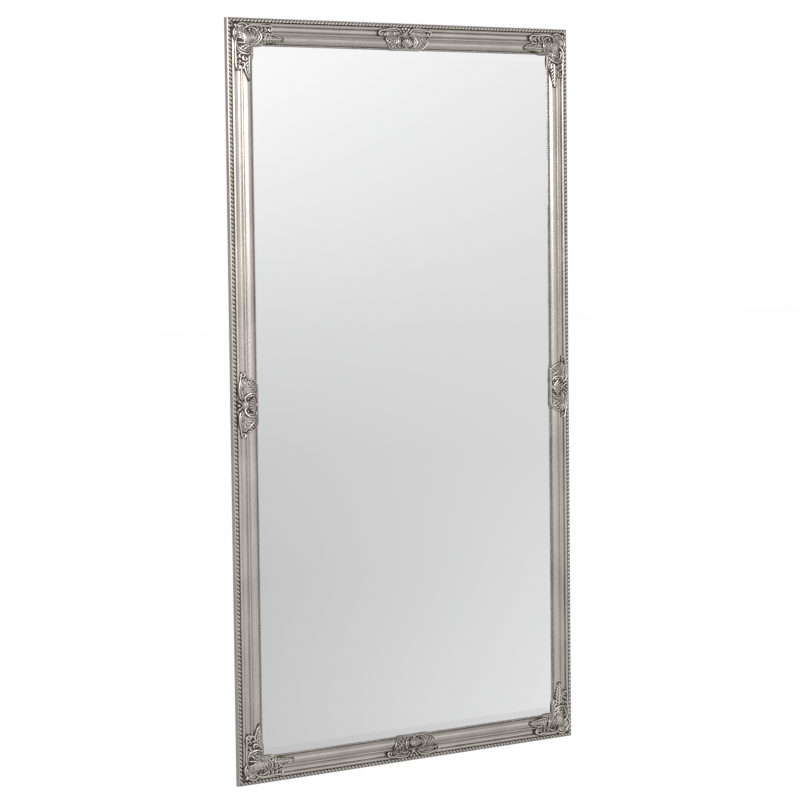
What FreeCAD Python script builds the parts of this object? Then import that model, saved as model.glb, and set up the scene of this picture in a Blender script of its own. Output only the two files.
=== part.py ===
import FreeCAD, Part
import math
import os
import Sketcher

# A tall wall mirror in an ornamental frame, in millimetres.
# The origin is the middle of the mirror on the plane of the wall, +Z is up and the glass faces -Y.
# "Across" is measured from the frame's outer edge towards the glass, "up" from the frame's back
# towards the viewer, and "along" in the direction of a rail.

Vector = FreeCAD.Vector
Rotation = FreeCAD.Rotation
Placement = FreeCAD.Placement
doc = FreeCAD.newDocument("baroque_mirror")

sizes = {
    "outer_width": 1000,
    "outer_height": 1800,
    # section of the frame moulding
    "face_width": 65,
    "crest_height": 24.5,
    "edge_height": 13.3,
    "edge_round": 2.3,
    "lip_width": 1.6,
    "lip_rise": 0.9,
    "lip_edge_height": 15.4,
    "bead_seat_height": 16,
    "rebate_width": 8,
    "rebate_depth": 14,
    # twisted rope and row of pearls
    "rope_width": 6.4,
    "rope_play": 0.25,
    "rope_pitch": 9.4,
    "rope_groove": 0.9,
    "rope_tongue_width": 4.1,
    "rope_tongue_depth": 3,
    "bead_diameter": 4.5,
    "bead_play": 0.2,
    "bead_pitch": 5.1,
    "bead_neck": 1.6,
    # cast ornaments
    "corner_reach": 145,
    "middle_reach": 75,
    "relief_rise": 1.2,
    "band_rise": 3.2,
    "bed_gap": 0.2,
    "bead_cover_gap": 0.4,
    # glass and what lies behind it
    "glass_thickness": 4,
    "glass_play": 1.5,
    "glass_gap": 0.1,
    "bevel_width": 25,
    "bevel_drop": 1.5,
    "cushion_thickness": 2,
    "board_thickness": 3,
    "point_thickness": 1,
    "point_width": 9,
    "point_length": 16,
    "point_hold": 7,
    "point_spacing": 170,
    "point_play": 0.1,
    # steel V-nails across the mitres
    "nail_leg": 9,
    "nail_thickness": 0.8,
    "nail_height": 9,
    "nail_play": 0.1,
    "outer_nail_across": 21,
    "inner_nail_margin": 10,
    # strap hangers with swinging rings
    "hanger_drop": 300,
    "hanger_side_drop": 200,
    "hanger_margin": 19,
    "plate_width": 16,
    "plate_length": 48,
    "plate_thickness": 1.2,
    "ring_wire": 3,
    "ring_play": 0.05,
    "ring_side_play": 0.5,
    "ring_corner": 3,
    "ring_rest_tilt": 2,
    "first_screw": 22,
    "second_screw": 38,
    "screw_diameter": 3.5,
    "screw_play": 0.1,
    "screw_length": 12,
    "screw_head": 7,
    "screw_head_height": 1.7,
    "screw_slot": 0.9,
    "screw_slot_depth": 0.9,
    "pilot_play": 0.05,
    "pilot_spare": 0.5,
    # rubber bumpers against the wall
    "bumper_height": 6,
    "bumper_diameter": 16,
    "bumper_round": 1.5,
    "bumper_inset": 30,
    "bumper_drop": 90,
    # how far cutting shapes run past what they cut
    "overrun": 2,
}

sheet = doc.addObject("Spreadsheet::Sheet", "Sizes")
for row, (name, number) in enumerate(sizes.items(), start=1):
    sheet.set(f"A{row}", name)
    sheet.set(f"B{row}", str(number))
    sheet.setAlias(f"B{row}", name)
doc.recompute()


def value(expression):
    return float(sheet.evalExpression(expression))


# Expressions that several pieces share.
rope_end = "(Sizes.edge_round + Sizes.rope_width + 2 * Sizes.rope_play)"
rope_middle = "(Sizes.edge_round + Sizes.rope_play + Sizes.rope_width / 2)"
tongue_room = "(Sizes.rope_tongue_width / 2 + Sizes.rope_play)"
tongue_floor = "(Sizes.edge_height - Sizes.rope_tongue_depth - Sizes.rope_play)"
bead_end = "(Sizes.face_width - Sizes.lip_width)"
bead_start = f"({bead_end} - Sizes.bead_diameter - 2 * Sizes.bead_play)"
bead_middle = f"({bead_end} - Sizes.bead_play - Sizes.bead_diameter / 2)"
rebate_wall = "(Sizes.face_width - Sizes.rebate_width)"
lip_on_glass = "(Sizes.rebate_width - Sizes.glass_play)"
glass_front = (
    "(Sizes.rebate_depth - Sizes.glass_gap"
    f" + Sizes.bevel_drop * (1 - {lip_on_glass} / Sizes.bevel_width))"
)
glass_back = f"({glass_front} - Sizes.glass_thickness)"
board_front = f"({glass_back} - Sizes.cushion_thickness)"
board_back = f"({board_front} - Sizes.board_thickness)"
glass_width = f"(Sizes.outer_width - 2 * ({rebate_wall} + Sizes.glass_play))"
glass_height = f"(Sizes.outer_height - 2 * ({rebate_wall} + Sizes.glass_play))"
eye_bore = "(Sizes.ring_wire / 2 + Sizes.ring_play)"
eye_radius = f"({eye_bore} + Sizes.plate_thickness)"
hanger_across = f"({rebate_wall} - Sizes.hanger_margin)"
nail_places = ("Sizes.outer_nail_across", f"({rebate_wall} - Sizes.inner_nail_margin)")
screw_places = ("Sizes.first_screw", "Sizes.second_screw")

# Corners of the carved part of the moulding, from the rope to the pearls. Each is its share of the
# way across and its share of the crest's height, then the middle of the arc that leads to it.
carved_shares = (
    ((0.015, 0.51), None),
    ((0.03, 0.585), None),
    ((0.185, 0.585), (0.11, 0.72)),
    ((0.197, 0.51), None),
    ((0.44, 0.53), (0.32, 0.48)),
    ((0.466, 0.745), None),
    ((0.572, 0.785), (0.52, 0.84)),
    ((0.584, 0.76), None),
    ((1, 0.72), (0.78, 1)),
)
round_share = 1 - math.sqrt(0.5)
# How far a strand of the rope runs along its rail for each millimetre across it.
rope_lean = 1.1


def moulding_corners():
    # The closed section as (across, up, middle of the arc before it), all as expressions.
    def carved(share):
        across = f"({rope_end} + {share[0]} * ({bead_start} - {rope_end}))"
        return across, f"({share[1]} * Sizes.crest_height)"

    shoulder = "(Sizes.edge_height - Sizes.edge_round)"
    shoulder_middle = (
        f"({round_share} * Sizes.edge_round)",
        f"(Sizes.edge_height - {round_share} * Sizes.edge_round)",
    )
    corners = [
        ("0", "0", None),
        ("0", shoulder, None),
        ("Sizes.edge_round", "Sizes.edge_height", shoulder_middle),
        (f"({rope_middle} - {tongue_room})", "Sizes.edge_height", None),
        (f"({rope_middle} - {tongue_room})", tongue_floor, None),
        (f"({rope_middle} + {tongue_room})", tongue_floor, None),
        (f"({rope_middle} + {tongue_room})", "Sizes.edge_height", None),
        (rope_end, "Sizes.edge_height", None),
    ]
    for corner, middle in carved_shares:
        arc = carved(middle) if middle else None
        corners.append((*carved(corner), arc))
    corners += [
        (bead_start, "Sizes.bead_seat_height", None),
        (bead_end, "Sizes.bead_seat_height", None),
        (bead_end, "(Sizes.bead_seat_height + Sizes.lip_rise)", None),
        ("Sizes.face_width", "Sizes.lip_edge_height", None),
        ("Sizes.face_width", "Sizes.rebate_depth", None),
        (rebate_wall, "Sizes.rebate_depth", None),
        (rebate_wall, "0", None),
    ]
    return corners


def flat_sketch(body, name, role, offset=None):
    sketch = body.newObject("Sketcher::SketchObject", name)
    plane = next(f for f in body.Origin.OriginFeatures if f.Role == role)
    sketch.AttachmentSupport = (plane, "")
    sketch.MapMode = "FlatFace"
    if offset:
        sketch.setExpression("AttachmentOffset.Base.z", offset)
    return sketch


def hold_point(sketch, geometry, position, x, y):
    # Ties one point of a sketch to two expressions.
    for direction, expression in (("DistanceX", x), ("DistanceY", y)):
        rule = Sketcher.Constraint(
            direction, -1, 1, geometry, position, value(expression)
        )
        index = sketch.addConstraint(rule)
        sketch.setExpression(f"Constraints[{index}]", expression)


def draw_outline(sketch, corners):
    # A closed outline through the corners, with straight edges and three-point arcs.
    spots = [Vector(value(x), value(y), 0) for x, y, _ in corners]
    ends = []
    for index, (_, _, middle) in enumerate(corners):
        start, end = spots[index - 1], spots[index]
        if middle is None:
            edge = sketch.addGeometry(Part.LineSegment(start, end))
            ends.append((edge, 1, 2))
            continue
        over = Vector(value(middle[0]), value(middle[1]), 0)
        edge = sketch.addGeometry(Part.Arc(start, over, end))
        first = sketch.getPoint(edge, 1)
        forward = first.distanceToPoint(start) < first.distanceToPoint(end)
        ends.append((edge, 1, 2) if forward else (edge, 2, 1))
        marker = sketch.addGeometry(Part.Point(over), True)
        hold_point(sketch, marker, 1, *middle)
        sketch.addConstraint(Sketcher.Constraint("PointOnObject", marker, 1, edge))
    for index, (edge, near, far) in enumerate(ends):
        following, following_near, _ = ends[(index + 1) % len(ends)]
        meet = Sketcher.Constraint(
            "Coincident", edge, far, following, following_near
        )
        sketch.addConstraint(meet)
        hold_point(sketch, edge, far, *corners[index][:2])


def draw_circle(sketch, x, y, radius):
    middle = Vector(value(x), value(y), 0)
    circle = Part.Circle(middle, Vector(0, 0, 1), value(radius))
    edge = sketch.addGeometry(circle)
    hold_point(sketch, edge, 3, x, y)
    size = sketch.addConstraint(Sketcher.Constraint("Radius", edge, value(radius)))
    sketch.setExpression(f"Constraints[{size}]", radius)


def add_pocket(body, name, sketch, depth=None):
    # Cuts towards the viewer by a depth, or right through both ways.
    pocket = body.newObject("PartDesign::Pocket", name)
    pocket.Profile = sketch
    if depth is None:
        pocket.SideType = "Symmetric"
        pocket.Type = "ThroughAll"
    else:
        pocket.Reversed = True
        pocket.setExpression("Length", depth)
    doc.recompute()
    return pocket


def straight(points):
    return [(x, y, None) for x, y in points]


# The four sides of the frame. A side is modelled as the top rail would be and then turned about
# the middle of the mirror: its length, its distance from the middle, its turn in degrees, the way
# its rope leans, and where its hanger's eye sits along it.
sides = {
    "top": ("Sizes.outer_width", "Sizes.outer_height / 2", 0, 1),
    "right": ("Sizes.outer_height", "Sizes.outer_width / 2", 90, -1),
    "bottom": ("Sizes.outer_width", "Sizes.outer_height / 2", 180, -1),
    "left": ("Sizes.outer_height", "Sizes.outer_width / 2", 270, 1),
}
rail_names = {
    "top": "top_rail",
    "right": "right_stile",
    "bottom": "bottom_rail",
    "left": "left_stile",
}
hanger_places = {
    "top": "(Sizes.outer_width / 2 - Sizes.hanger_side_drop)",
    "right": "-(Sizes.outer_height / 2 - Sizes.hanger_drop)",
    "bottom": "-(Sizes.outer_width / 2 - Sizes.hanger_side_drop)",
    "left": "(Sizes.outer_height / 2 - Sizes.hanger_drop)",
}


def side_turn(side):
    return Rotation(Vector(0, 1, 0), sides[side][2])


def point_places(side):
    # Distances along a side of its glazing points, spread evenly between the rebate's ends.
    room = value(f"{sides[side][0]} - 2 * {rebate_wall}")
    count = round(room / value("Sizes.point_spacing"))
    return [(index + 0.5) / count - 0.5 for index in range(count)]


def nail_corners(across, side_length, side_reach, play, flip):
    # An L with its knee on the mitre line and a leg towards each outer edge.
    knee_x = f"({side_length} / 2 - {across})"
    knee_z = f"({side_reach} - {across})"
    near = f"-{play}"
    web = f"(Sizes.nail_thickness + {play})"
    tip = f"(Sizes.nail_leg + {play})"
    steps = ((near, near), (tip, near), (tip, web), (web, web), (web, tip), (near, tip))
    return [(f"{flip} * ({knee_x} + {x})", f"({knee_z} + {z})") for x, z in steps]


def make_rail(side):
    length, reach = sides[side][:2]
    body = doc.addObject("PartDesign::Body", rail_names[side])
    profile = flat_sketch(body, f"{side}_profile", "YZ_Plane")
    corners = []
    for across, up, middle in moulding_corners():
        place = (f"-(Sizes.bumper_height + {up})", f"({reach} - {across})")
        if middle:
            middle = (
                f"-(Sizes.bumper_height + {middle[1]})",
                f"({reach} - {middle[0]})",
            )
        corners.append((*place, middle))
    draw_outline(profile, corners)
    pad = body.newObject("PartDesign::Pad", f"{side}_length")
    pad.Profile = profile
    pad.SideType = "Symmetric"
    pad.setExpression("Length", length)
    doc.recompute()

    mitres = flat_sketch(body, f"{side}_mitres", "XZ_Plane")
    outer = "Sizes.overrun"
    inner = "(Sizes.face_width + Sizes.overrun)"
    for flip in (1, -1):
        draw_outline(
            mitres,
            straight(
                [
                    (f"{flip} * ({length} / 2 + {outer})", f"({reach} + {outer})"),
                    (f"{flip} * ({length} / 2 - {inner})", f"({reach} - {inner})"),
                    (f"{flip} * ({length} / 2 + {outer})", f"({reach} - {inner})"),
                ]
            ),
        )
    add_pocket(body, f"{side}_mitre_cuts", mitres)

    slots = flat_sketch(
        body, f"{side}_nail_slots", "XZ_Plane", "Sizes.bumper_height"
    )
    for across in nail_places:
        for flip in (1, -1):
            outline = nail_corners(across, length, reach, "Sizes.nail_play", flip)
            draw_outline(slots, straight(outline))
    depth = "Sizes.nail_height + Sizes.nail_play"
    add_pocket(body, f"{side}_nail_cuts", slots, depth)

    grooves = flat_sketch(
        body,
        f"{side}_point_slots",
        "XZ_Plane",
        f"Sizes.bumper_height + {board_back} - Sizes.point_thickness - Sizes.point_play",
    )
    half = "(Sizes.point_width / 2 + Sizes.point_play)"
    high = f"({reach} - {rebate_wall} + Sizes.point_hold + Sizes.point_play)"
    low = f"({reach} - {rebate_wall} - Sizes.overrun)"
    for share in point_places(side):
        middle = f"({share} * ({length} - 2 * {rebate_wall}))"
        box = [
            (f"({middle} - {half})", low),
            (f"({middle} + {half})", low),
            (f"({middle} + {half})", high),
            (f"({middle} - {half})", high),
        ]
        draw_outline(grooves, straight(box))
    depth = "Sizes.point_thickness + 2 * Sizes.point_play"
    add_pocket(body, f"{side}_point_cuts", grooves, depth)

    pilots = flat_sketch(body, f"{side}_pilots", "XZ_Plane", "Sizes.bumper_height")
    eye = hanger_places[side]
    back = "-" if value(eye) > 0 else "+"
    for screw in screw_places:
        draw_circle(
            pilots,
            f"({eye} {back} {screw})",
            f"({reach} - {hanger_across})",
            "(Sizes.screw_diameter / 2 + Sizes.pilot_play)",
        )
    depth = "Sizes.screw_length - Sizes.plate_thickness + Sizes.pilot_spare"
    add_pocket(body, f"{side}_pilot_holes", pilots, depth)
    body.Placement = Placement(Vector(), side_turn(side))
    return body


def mitre_wedges(length, reach):
    # Two blocks whose slanted sides lie on the mitres, for cutting the ends of a strip.
    half = length / 2
    spare = value("Sizes.face_width + Sizes.crest_height")
    front = -value("Sizes.bumper_height + 2 * Sizes.crest_height")
    wedges = []
    for flip in (1, -1):
        points = [
            Vector(flip * (half + spare), front, reach + spare),
            Vector(flip * (half - spare), front, reach - spare),
            Vector(flip * (half + spare), front, reach - spare),
        ]
        face = Part.Face(Part.makePolygon(points + points[:1]))
        wedges.append(face.extrude(Vector(0, -front, 0)))
    return wedges


def strip_of_lobes(start, pitch, count, neck, crown, bare):
    # A half-round strip along X that swells to the crown once in every pitch. Between two swells
    # it stays at the neck's radius for the bare length.
    edges = []
    here = Vector(start, neck, 0)
    for index in range(count):
        swell = pitch - bare
        top = here + Vector(swell / 2, crown - neck, 0)
        end = here + Vector(swell, 0, 0)
        edges.append(Part.Arc(here, top, end).toShape())
        here = end
        if bare:
            end = here + Vector(bare, 0, 0)
            edges.append(Part.LineSegment(here, end).toShape())
            here = end
    foot = Vector(here.x, 0, 0)
    base = Vector(start, 0, 0)
    for near, far in ((here, foot), (foot, base), (base, Vector(start, neck, 0))):
        edges.append(Part.LineSegment(near, far).toShape())
    half_section = Part.Face(Part.Wire(edges))
    return half_section.revolve(Vector(), Vector(1, 0, 0), 180)


def lay_strip(name, solid, across, up, side):
    # Lays a strip on the top rail's place, mitres its ends and turns it to its own side.
    length, reach = value(sides[side][0]), value(sides[side][1])
    solid.rotate(Vector(), Vector(1, 0, 0), 90)
    solid.translate(Vector(0, -value("Sizes.bumper_height") - up, reach - across))
    for wedge in mitre_wedges(length, reach):
        solid = solid.cut(wedge)
    return add_shape(name, solid.Solids[0], side)


def make_rope(side):
    # The lobes are made square to the rail and then slanted into strands. The tongue under them
    # lies in the rail's groove and starts a little way up inside them.
    length, lean = value(sides[side][0]), sides[side][3]
    count = round(length / value("Sizes.rope_pitch"))
    pitch = length / count
    radius = value("Sizes.rope_width / 2")
    neck = radius - value("Sizes.rope_groove")
    start = -length / 2 - pitch
    rope = strip_of_lobes(start, pitch, count + 2, neck, radius, 0)
    slant = FreeCAD.Matrix()
    slant.A12 = lean * rope_lean
    rope = rope.transformGeometry(slant)
    wide, deep = value("Sizes.rope_tongue_width"), value("Sizes.rope_tongue_depth")
    corner = Vector(start + pitch / 2, -wide / 2, -deep)
    rope = rope.fuse(Part.makeBox(length + pitch, wide, deep + neck / 4, corner))
    height = value("Sizes.edge_height")
    return lay_strip(f"rope_{side}", rope, value(rope_middle), height, side)


def make_beads(side):
    # The first and last pearls are centred on the corners, where the mitre halves them.
    across = value(bead_middle)
    length = value(sides[side][0]) - 2 * across
    count = round(length / value("Sizes.bead_pitch"))
    pitch = length / count
    neck = value("Sizes.bead_neck / 2")
    radius = value("Sizes.bead_diameter / 2")
    bare = pitch - 2 * math.sqrt(radius**2 - neck**2)
    start = -length / 2 - (pitch - bare) / 2
    beads = strip_of_lobes(start, pitch, count + 1, neck, radius, bare)
    height = value("Sizes.bead_seat_height")
    return lay_strip(f"beads_{side}", beads, across, height, side)


def add_shape(name, shape, side=None):
    piece = doc.addObject("Part::Feature", name)
    piece.Shape = shape
    if side:
        piece.Placement = Placement(Vector(), side_turn(side))
    return piece


def rectangle(width, height):
    return straight(
        [
            (f"-{width} / 2", f"-{height} / 2"),
            (f"{width} / 2", f"-{height} / 2"),
            (f"{width} / 2", f"{height} / 2"),
            (f"-{width} / 2", f"{height} / 2"),
        ]
    )


def make_glass():
    # A flat plate whose front is ground down towards its edges in a wide bevel.
    body = doc.addObject("PartDesign::Body", "mirror_glass")
    back = flat_sketch(
        body, "glass_outline", "XZ_Plane", f"Sizes.bumper_height + {glass_back}"
    )
    draw_outline(back, rectangle(glass_width, glass_height))
    pad = body.newObject("PartDesign::Pad", "glass_plate")
    pad.Profile = back
    pad.setExpression("Length", "Sizes.glass_thickness - Sizes.bevel_drop")
    doc.recompute()
    rim = flat_sketch(
        body,
        "bevel_rim",
        "XZ_Plane",
        f"Sizes.bumper_height + {glass_front} - Sizes.bevel_drop",
    )
    draw_outline(rim, rectangle(glass_width, glass_height))
    field = flat_sketch(
        body, "bevel_field", "XZ_Plane", f"Sizes.bumper_height + {glass_front}"
    )
    inner_width = f"({glass_width} - 2 * Sizes.bevel_width)"
    inner_height = f"({glass_height} - 2 * Sizes.bevel_width)"
    draw_outline(field, rectangle(inner_width, inner_height))
    bevel = body.newObject("PartDesign::AdditiveLoft", "bevel")
    bevel.Profile = rim
    bevel.Sections = [field]
    bevel.Ruled = True
    doc.recompute()
    return body


def make_sheet(name, front, thickness):
    # A plain sheet behind the glass, as wide and high as the glass.
    panel = doc.addObject("Part::Box", name)
    panel.setExpression("Length", glass_width)
    panel.setExpression("Width", thickness)
    panel.setExpression("Height", glass_height)
    panel.setExpression("Placement.Base.x", f"-{glass_width} / 2")
    panel.setExpression("Placement.Base.y", f"-(Sizes.bumper_height + {front})")
    panel.setExpression("Placement.Base.z", f"-{glass_height} / 2")
    return panel


def flat_prism(points, low, high):
    # A flat outline in the mirror's plane, thick from one height above the frame's back to another.
    base = value("Sizes.bumper_height")
    corners = [Vector(x, -(base + low), z) for x, z in points]
    face = Part.Face(Part.makePolygon(corners + corners[:1]))
    return face.extrude(Vector(0, low - high, 0))


def make_glazing_points():
    points = []
    hold = value("Sizes.point_hold")
    half = value("Sizes.point_width / 2")
    high = value(board_back)
    low = high - value("Sizes.point_thickness")
    for side, (length, reach, _, _) in sides.items():
        wall = value(f"{reach} - {rebate_wall}")
        room = value(f"{length} - 2 * {rebate_wall}")
        foot = wall + hold - value("Sizes.point_length")
        for share in point_places(side):
            middle = share * room
            outline = [
                (middle - half, foot),
                (middle + half, foot),
                (middle + half, wall),
                (middle, wall + hold),
                (middle - half, wall),
            ]
            point = flat_prism(outline, low, high)
            point.Placement = Placement(Vector(), side_turn(side))
            points.append(point)
    return add_shape("glazing_points", Part.makeCompound(points))


def make_nails():
    nails = []
    length, reach = sides["top"][:2]
    high = value("Sizes.nail_height")
    for across in nail_places:
        for flip in (1, -1):
            corners = nail_corners(across, length, reach, "0", flip)
            outline = [(value(x), value(z)) for x, z in corners]
            for end in ("top", "bottom"):
                nail = flat_prism(outline, 0, high)
                nail.Placement = Placement(Vector(), side_turn(end))
                nails.append(nail)
    return add_shape("corner_v_nails", Part.makeCompound(nails))


def hang_on(piece, side, tilt=0):
    # Puts a hanger's piece, modelled about its eye, on the back of its own side. The strap points
    # down for upright hanging and to the left for sideways hanging.
    reach = sides[side][1]
    along = hanger_places[side]
    across = f"({reach} - {hanger_across})"
    places = {
        "top": (along, across),
        "right": (across, f"-{along}"),
        "bottom": (f"-{along}", f"-{across}"),
        "left": (f"-{across}", along),
    }
    x, z = places[side]
    upright = 0 if side in ("left", "right") else 90
    turned = Rotation(Vector(0, 1, 0), upright)
    piece.Placement = Placement(Vector(), turned * Rotation(Vector(1, 0, 0), tilt))
    piece.setExpression("Placement.Base.x", x)
    piece.setExpression("Placement.Base.y", f"{eye_radius} - Sizes.bumper_height")
    piece.setExpression("Placement.Base.z", z)


def make_hanger_plate(side):
    # A strap with its end rolled into an eye, whose axis is the piece's own X axis.
    body = doc.addObject("PartDesign::Body", f"hanger_plate_{side}")
    strap = flat_sketch(body, f"{side}_strap", "XZ_Plane", eye_bore)
    half = "Sizes.plate_width / 2"
    foot = f"-(Sizes.plate_length - {half})"
    outline = [
        (f"-{half}", "0", None),
        (half, "0", None),
        (half, foot, None),
        (f"-{half}", foot, ("0", "-Sizes.plate_length")),
    ]
    draw_outline(strap, outline)
    pad = body.newObject("PartDesign::Pad", f"{side}_strap_pad")
    pad.Profile = strap
    pad.setExpression("Length", "Sizes.plate_thickness")
    doc.recompute()
    roll = flat_sketch(body, f"{side}_roll", "YZ_Plane")
    draw_circle(roll, "0", "0", eye_radius)
    eye = body.newObject("PartDesign::Pad", f"{side}_eye")
    eye.Profile = roll
    eye.SideType = "Symmetric"
    eye.setExpression("Length", "Sizes.plate_width")
    doc.recompute()
    bore = flat_sketch(body, f"{side}_bore", "YZ_Plane")
    draw_circle(bore, "0", "0", eye_bore)
    add_pocket(body, f"{side}_bore_cut", bore)
    holes = flat_sketch(body, f"{side}_holes", "XZ_Plane")
    for screw in screw_places:
        radius = "(Sizes.screw_diameter / 2 + Sizes.screw_play)"
        draw_circle(holes, "0", f"-{screw}", radius)
    add_pocket(body, f"{side}_hole_cuts", holes)
    hang_on(body, side)
    return body


def make_ring(side):
    # A D of round wire: its straight bar turns in the eye and its bow hangs over the strap.
    body = doc.addObject("PartDesign::Body", f"d_ring_{side}")
    straight_half = "(Sizes.plate_width / 2 + Sizes.ring_side_play)"
    half = f"({straight_half} + Sizes.ring_corner)"
    bend = f"({half} - {round_share} * Sizes.ring_corner)"
    bend_drop = f"-{round_share} * Sizes.ring_corner"
    route = [
        (f"-{straight_half}", "0", (f"-{bend}", bend_drop)),
        (straight_half, "0", None),
        (half, "-Sizes.ring_corner", (bend, bend_drop)),
        (f"-{half}", "-Sizes.ring_corner", ("0", f"-(Sizes.ring_corner + {half})")),
    ]
    path = flat_sketch(body, f"{side}_ring_path", "XZ_Plane")
    draw_outline(path, route)
    wire = flat_sketch(body, f"{side}_ring_wire", "YZ_Plane")
    draw_circle(wire, "0", "0", "Sizes.ring_wire / 2")
    doc.recompute()
    pipe = body.newObject("PartDesign::AdditivePipe", f"{side}_ring")
    pipe.Profile = wire
    pipe.Spine = (path, [""])
    doc.recompute()
    hang_on(body, side, value("Sizes.ring_rest_tilt"))
    return body


# Where the arc of a screw's domed head passes, as shares of the head's radius and height.
dome_shares = (0.7, 0.9)


def screw_shape():
    # A pan-head wood screw along Y whose head sits on the plane of the strap.
    radius = value("Sizes.screw_diameter / 2")
    head = value("Sizes.screw_head / 2")
    rise = value("Sizes.screw_head_height")
    length = value("Sizes.screw_length")
    slot = value("Sizes.screw_slot")
    depth = value("Sizes.screw_slot_depth")
    edges = Part.makePolygon(
        [
            Vector(0, rise, 0),
            Vector(0, -length, 0),
            Vector(radius, -length + 2 * radius, 0),
            Vector(radius, 0, 0),
            Vector(head, 0, 0),
            Vector(head, rise / 2, 0),
        ]
    ).Edges
    bulge = Vector(dome_shares[0] * head, dome_shares[1] * rise, 0)
    dome = Part.Arc(Vector(head, rise / 2, 0), bulge, Vector(0, rise, 0))
    section = Part.Face(Part.Wire(edges + [dome.toShape()]))
    screw = section.revolve(Vector(), Vector(0, 1, 0), 360)
    for wide, deep in ((slot, head), (head, slot)):
        corner = Vector(-wide / 2, rise - depth, -deep / 2)
        screw = screw.cut(Part.makeBox(wide, rise, deep, corner))
    return screw


def make_screws(plates):
    screws = []
    screw = screw_shape()
    seat = value(f"-{eye_bore}")
    for plate in plates:
        for place in screw_places:
            copy = screw.copy()
            copy.translate(Vector(0, seat, -value(place)))
            copy.Placement = plate.Placement * copy.Placement
            screws.append(copy)
    return add_shape("hanger_screws", Part.makeCompound(screws))


def make_bumper(name, flip_x, flip_z):
    body = doc.addObject("PartDesign::Body", name)
    radius = "Sizes.bumper_diameter / 2"
    tip = f"({radius} - Sizes.bumper_round)"
    shoulder = "-Sizes.bumper_round"
    bend = (
        f"({radius} - {round_share} * Sizes.bumper_round)",
        f"-{round_share} * Sizes.bumper_round",
    )
    outline = [
        ("0", "0", None),
        ("0", "-Sizes.bumper_height", None),
        (radius, "-Sizes.bumper_height", None),
        (radius, shoulder, None),
        (tip, "0", bend),
    ]
    section = flat_sketch(body, f"{name}_section", "XY_Plane")
    draw_outline(section, outline)
    turned = body.newObject("PartDesign::Revolution", f"{name}_turned")
    turned.Profile = section
    axis = next(f for f in body.Origin.OriginFeatures if f.Role == "Y_Axis")
    turned.ReferenceAxis = (axis, [""])
    doc.recompute()
    x = f"{flip_x} * (Sizes.outer_width / 2 - Sizes.bumper_inset)"
    z = f"{flip_z} * (Sizes.outer_height / 2 - Sizes.bumper_drop)"
    body.setExpression("Placement.Base.x", x)
    body.setExpression("Placement.Base.z", z)
    return body


# The cast ornaments are modelled in a frame of their own: X along the rail, Z outwards from the
# frame's outer edge (so "across" is -Z) and the wall at Y = 0.

# Corners of the ornaments' smooth ground, as shares of the face's width and the crest's height.
ground_shares = (
    ((0.145, 0.735), None),
    ((0.3, 0.735), None),
    ((0.37, 0.62), None),
    ((0.47, 0.62), None),
    ((0.508, 0.85), None),
    ((0.908, 0.82), (0.71, 1.035)),
    ((0.985, 0.79), None),
)


def ground_point(share, rise=0):
    across = share[0] * value("Sizes.face_width")
    up = share[1] * value("Sizes.crest_height") + rise
    return Vector(0, -(value("Sizes.bumper_height") + up), -across)


def ground_edges(rise=0):
    edges = []
    here = ground_point(ground_shares[0][0], rise)
    for share, middle in ground_shares[1:]:
        end = ground_point(share, rise)
        if middle:
            over = ground_point(middle, rise)
            edges.append(Part.Arc(here, over, end).toShape())
        else:
            edges.append(Part.LineSegment(here, end).toShape())
        here = end
    return edges


def ground_up(across):
    # Height of the ground above the wall at a distance from the outer edge.
    probe = Part.LineSegment(
        Vector(0, 0, -across),
        Vector(0, -value("Sizes.bumper_height + 2 * Sizes.crest_height"), -across),
    ).toShape()
    hits = [edge.distToShape(probe) for edge in ground_edges()]
    nearest = min(hits, key=lambda hit: hit[0])
    return -nearest[1][0][0].y


def ground_block(rise, start, end):
    # Everything under the ground, raised by a rise, between two places along the rail.
    edges = ground_edges(rise)
    first = edges[0].Vertexes[0].Point
    last = edges[-1].Vertexes[-1].Point
    floor = -value("Sizes.bumper_height + Sizes.edge_height / 2")
    loop = [last, Vector(0, floor, last.z), Vector(0, floor, first.z), first]
    wire = Part.Wire(edges + Part.makePolygon(loop).Edges)
    block = Part.Face(wire).extrude(Vector(end - start, 0, 0))
    block.translate(Vector(start, 0, 0))
    return block


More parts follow.
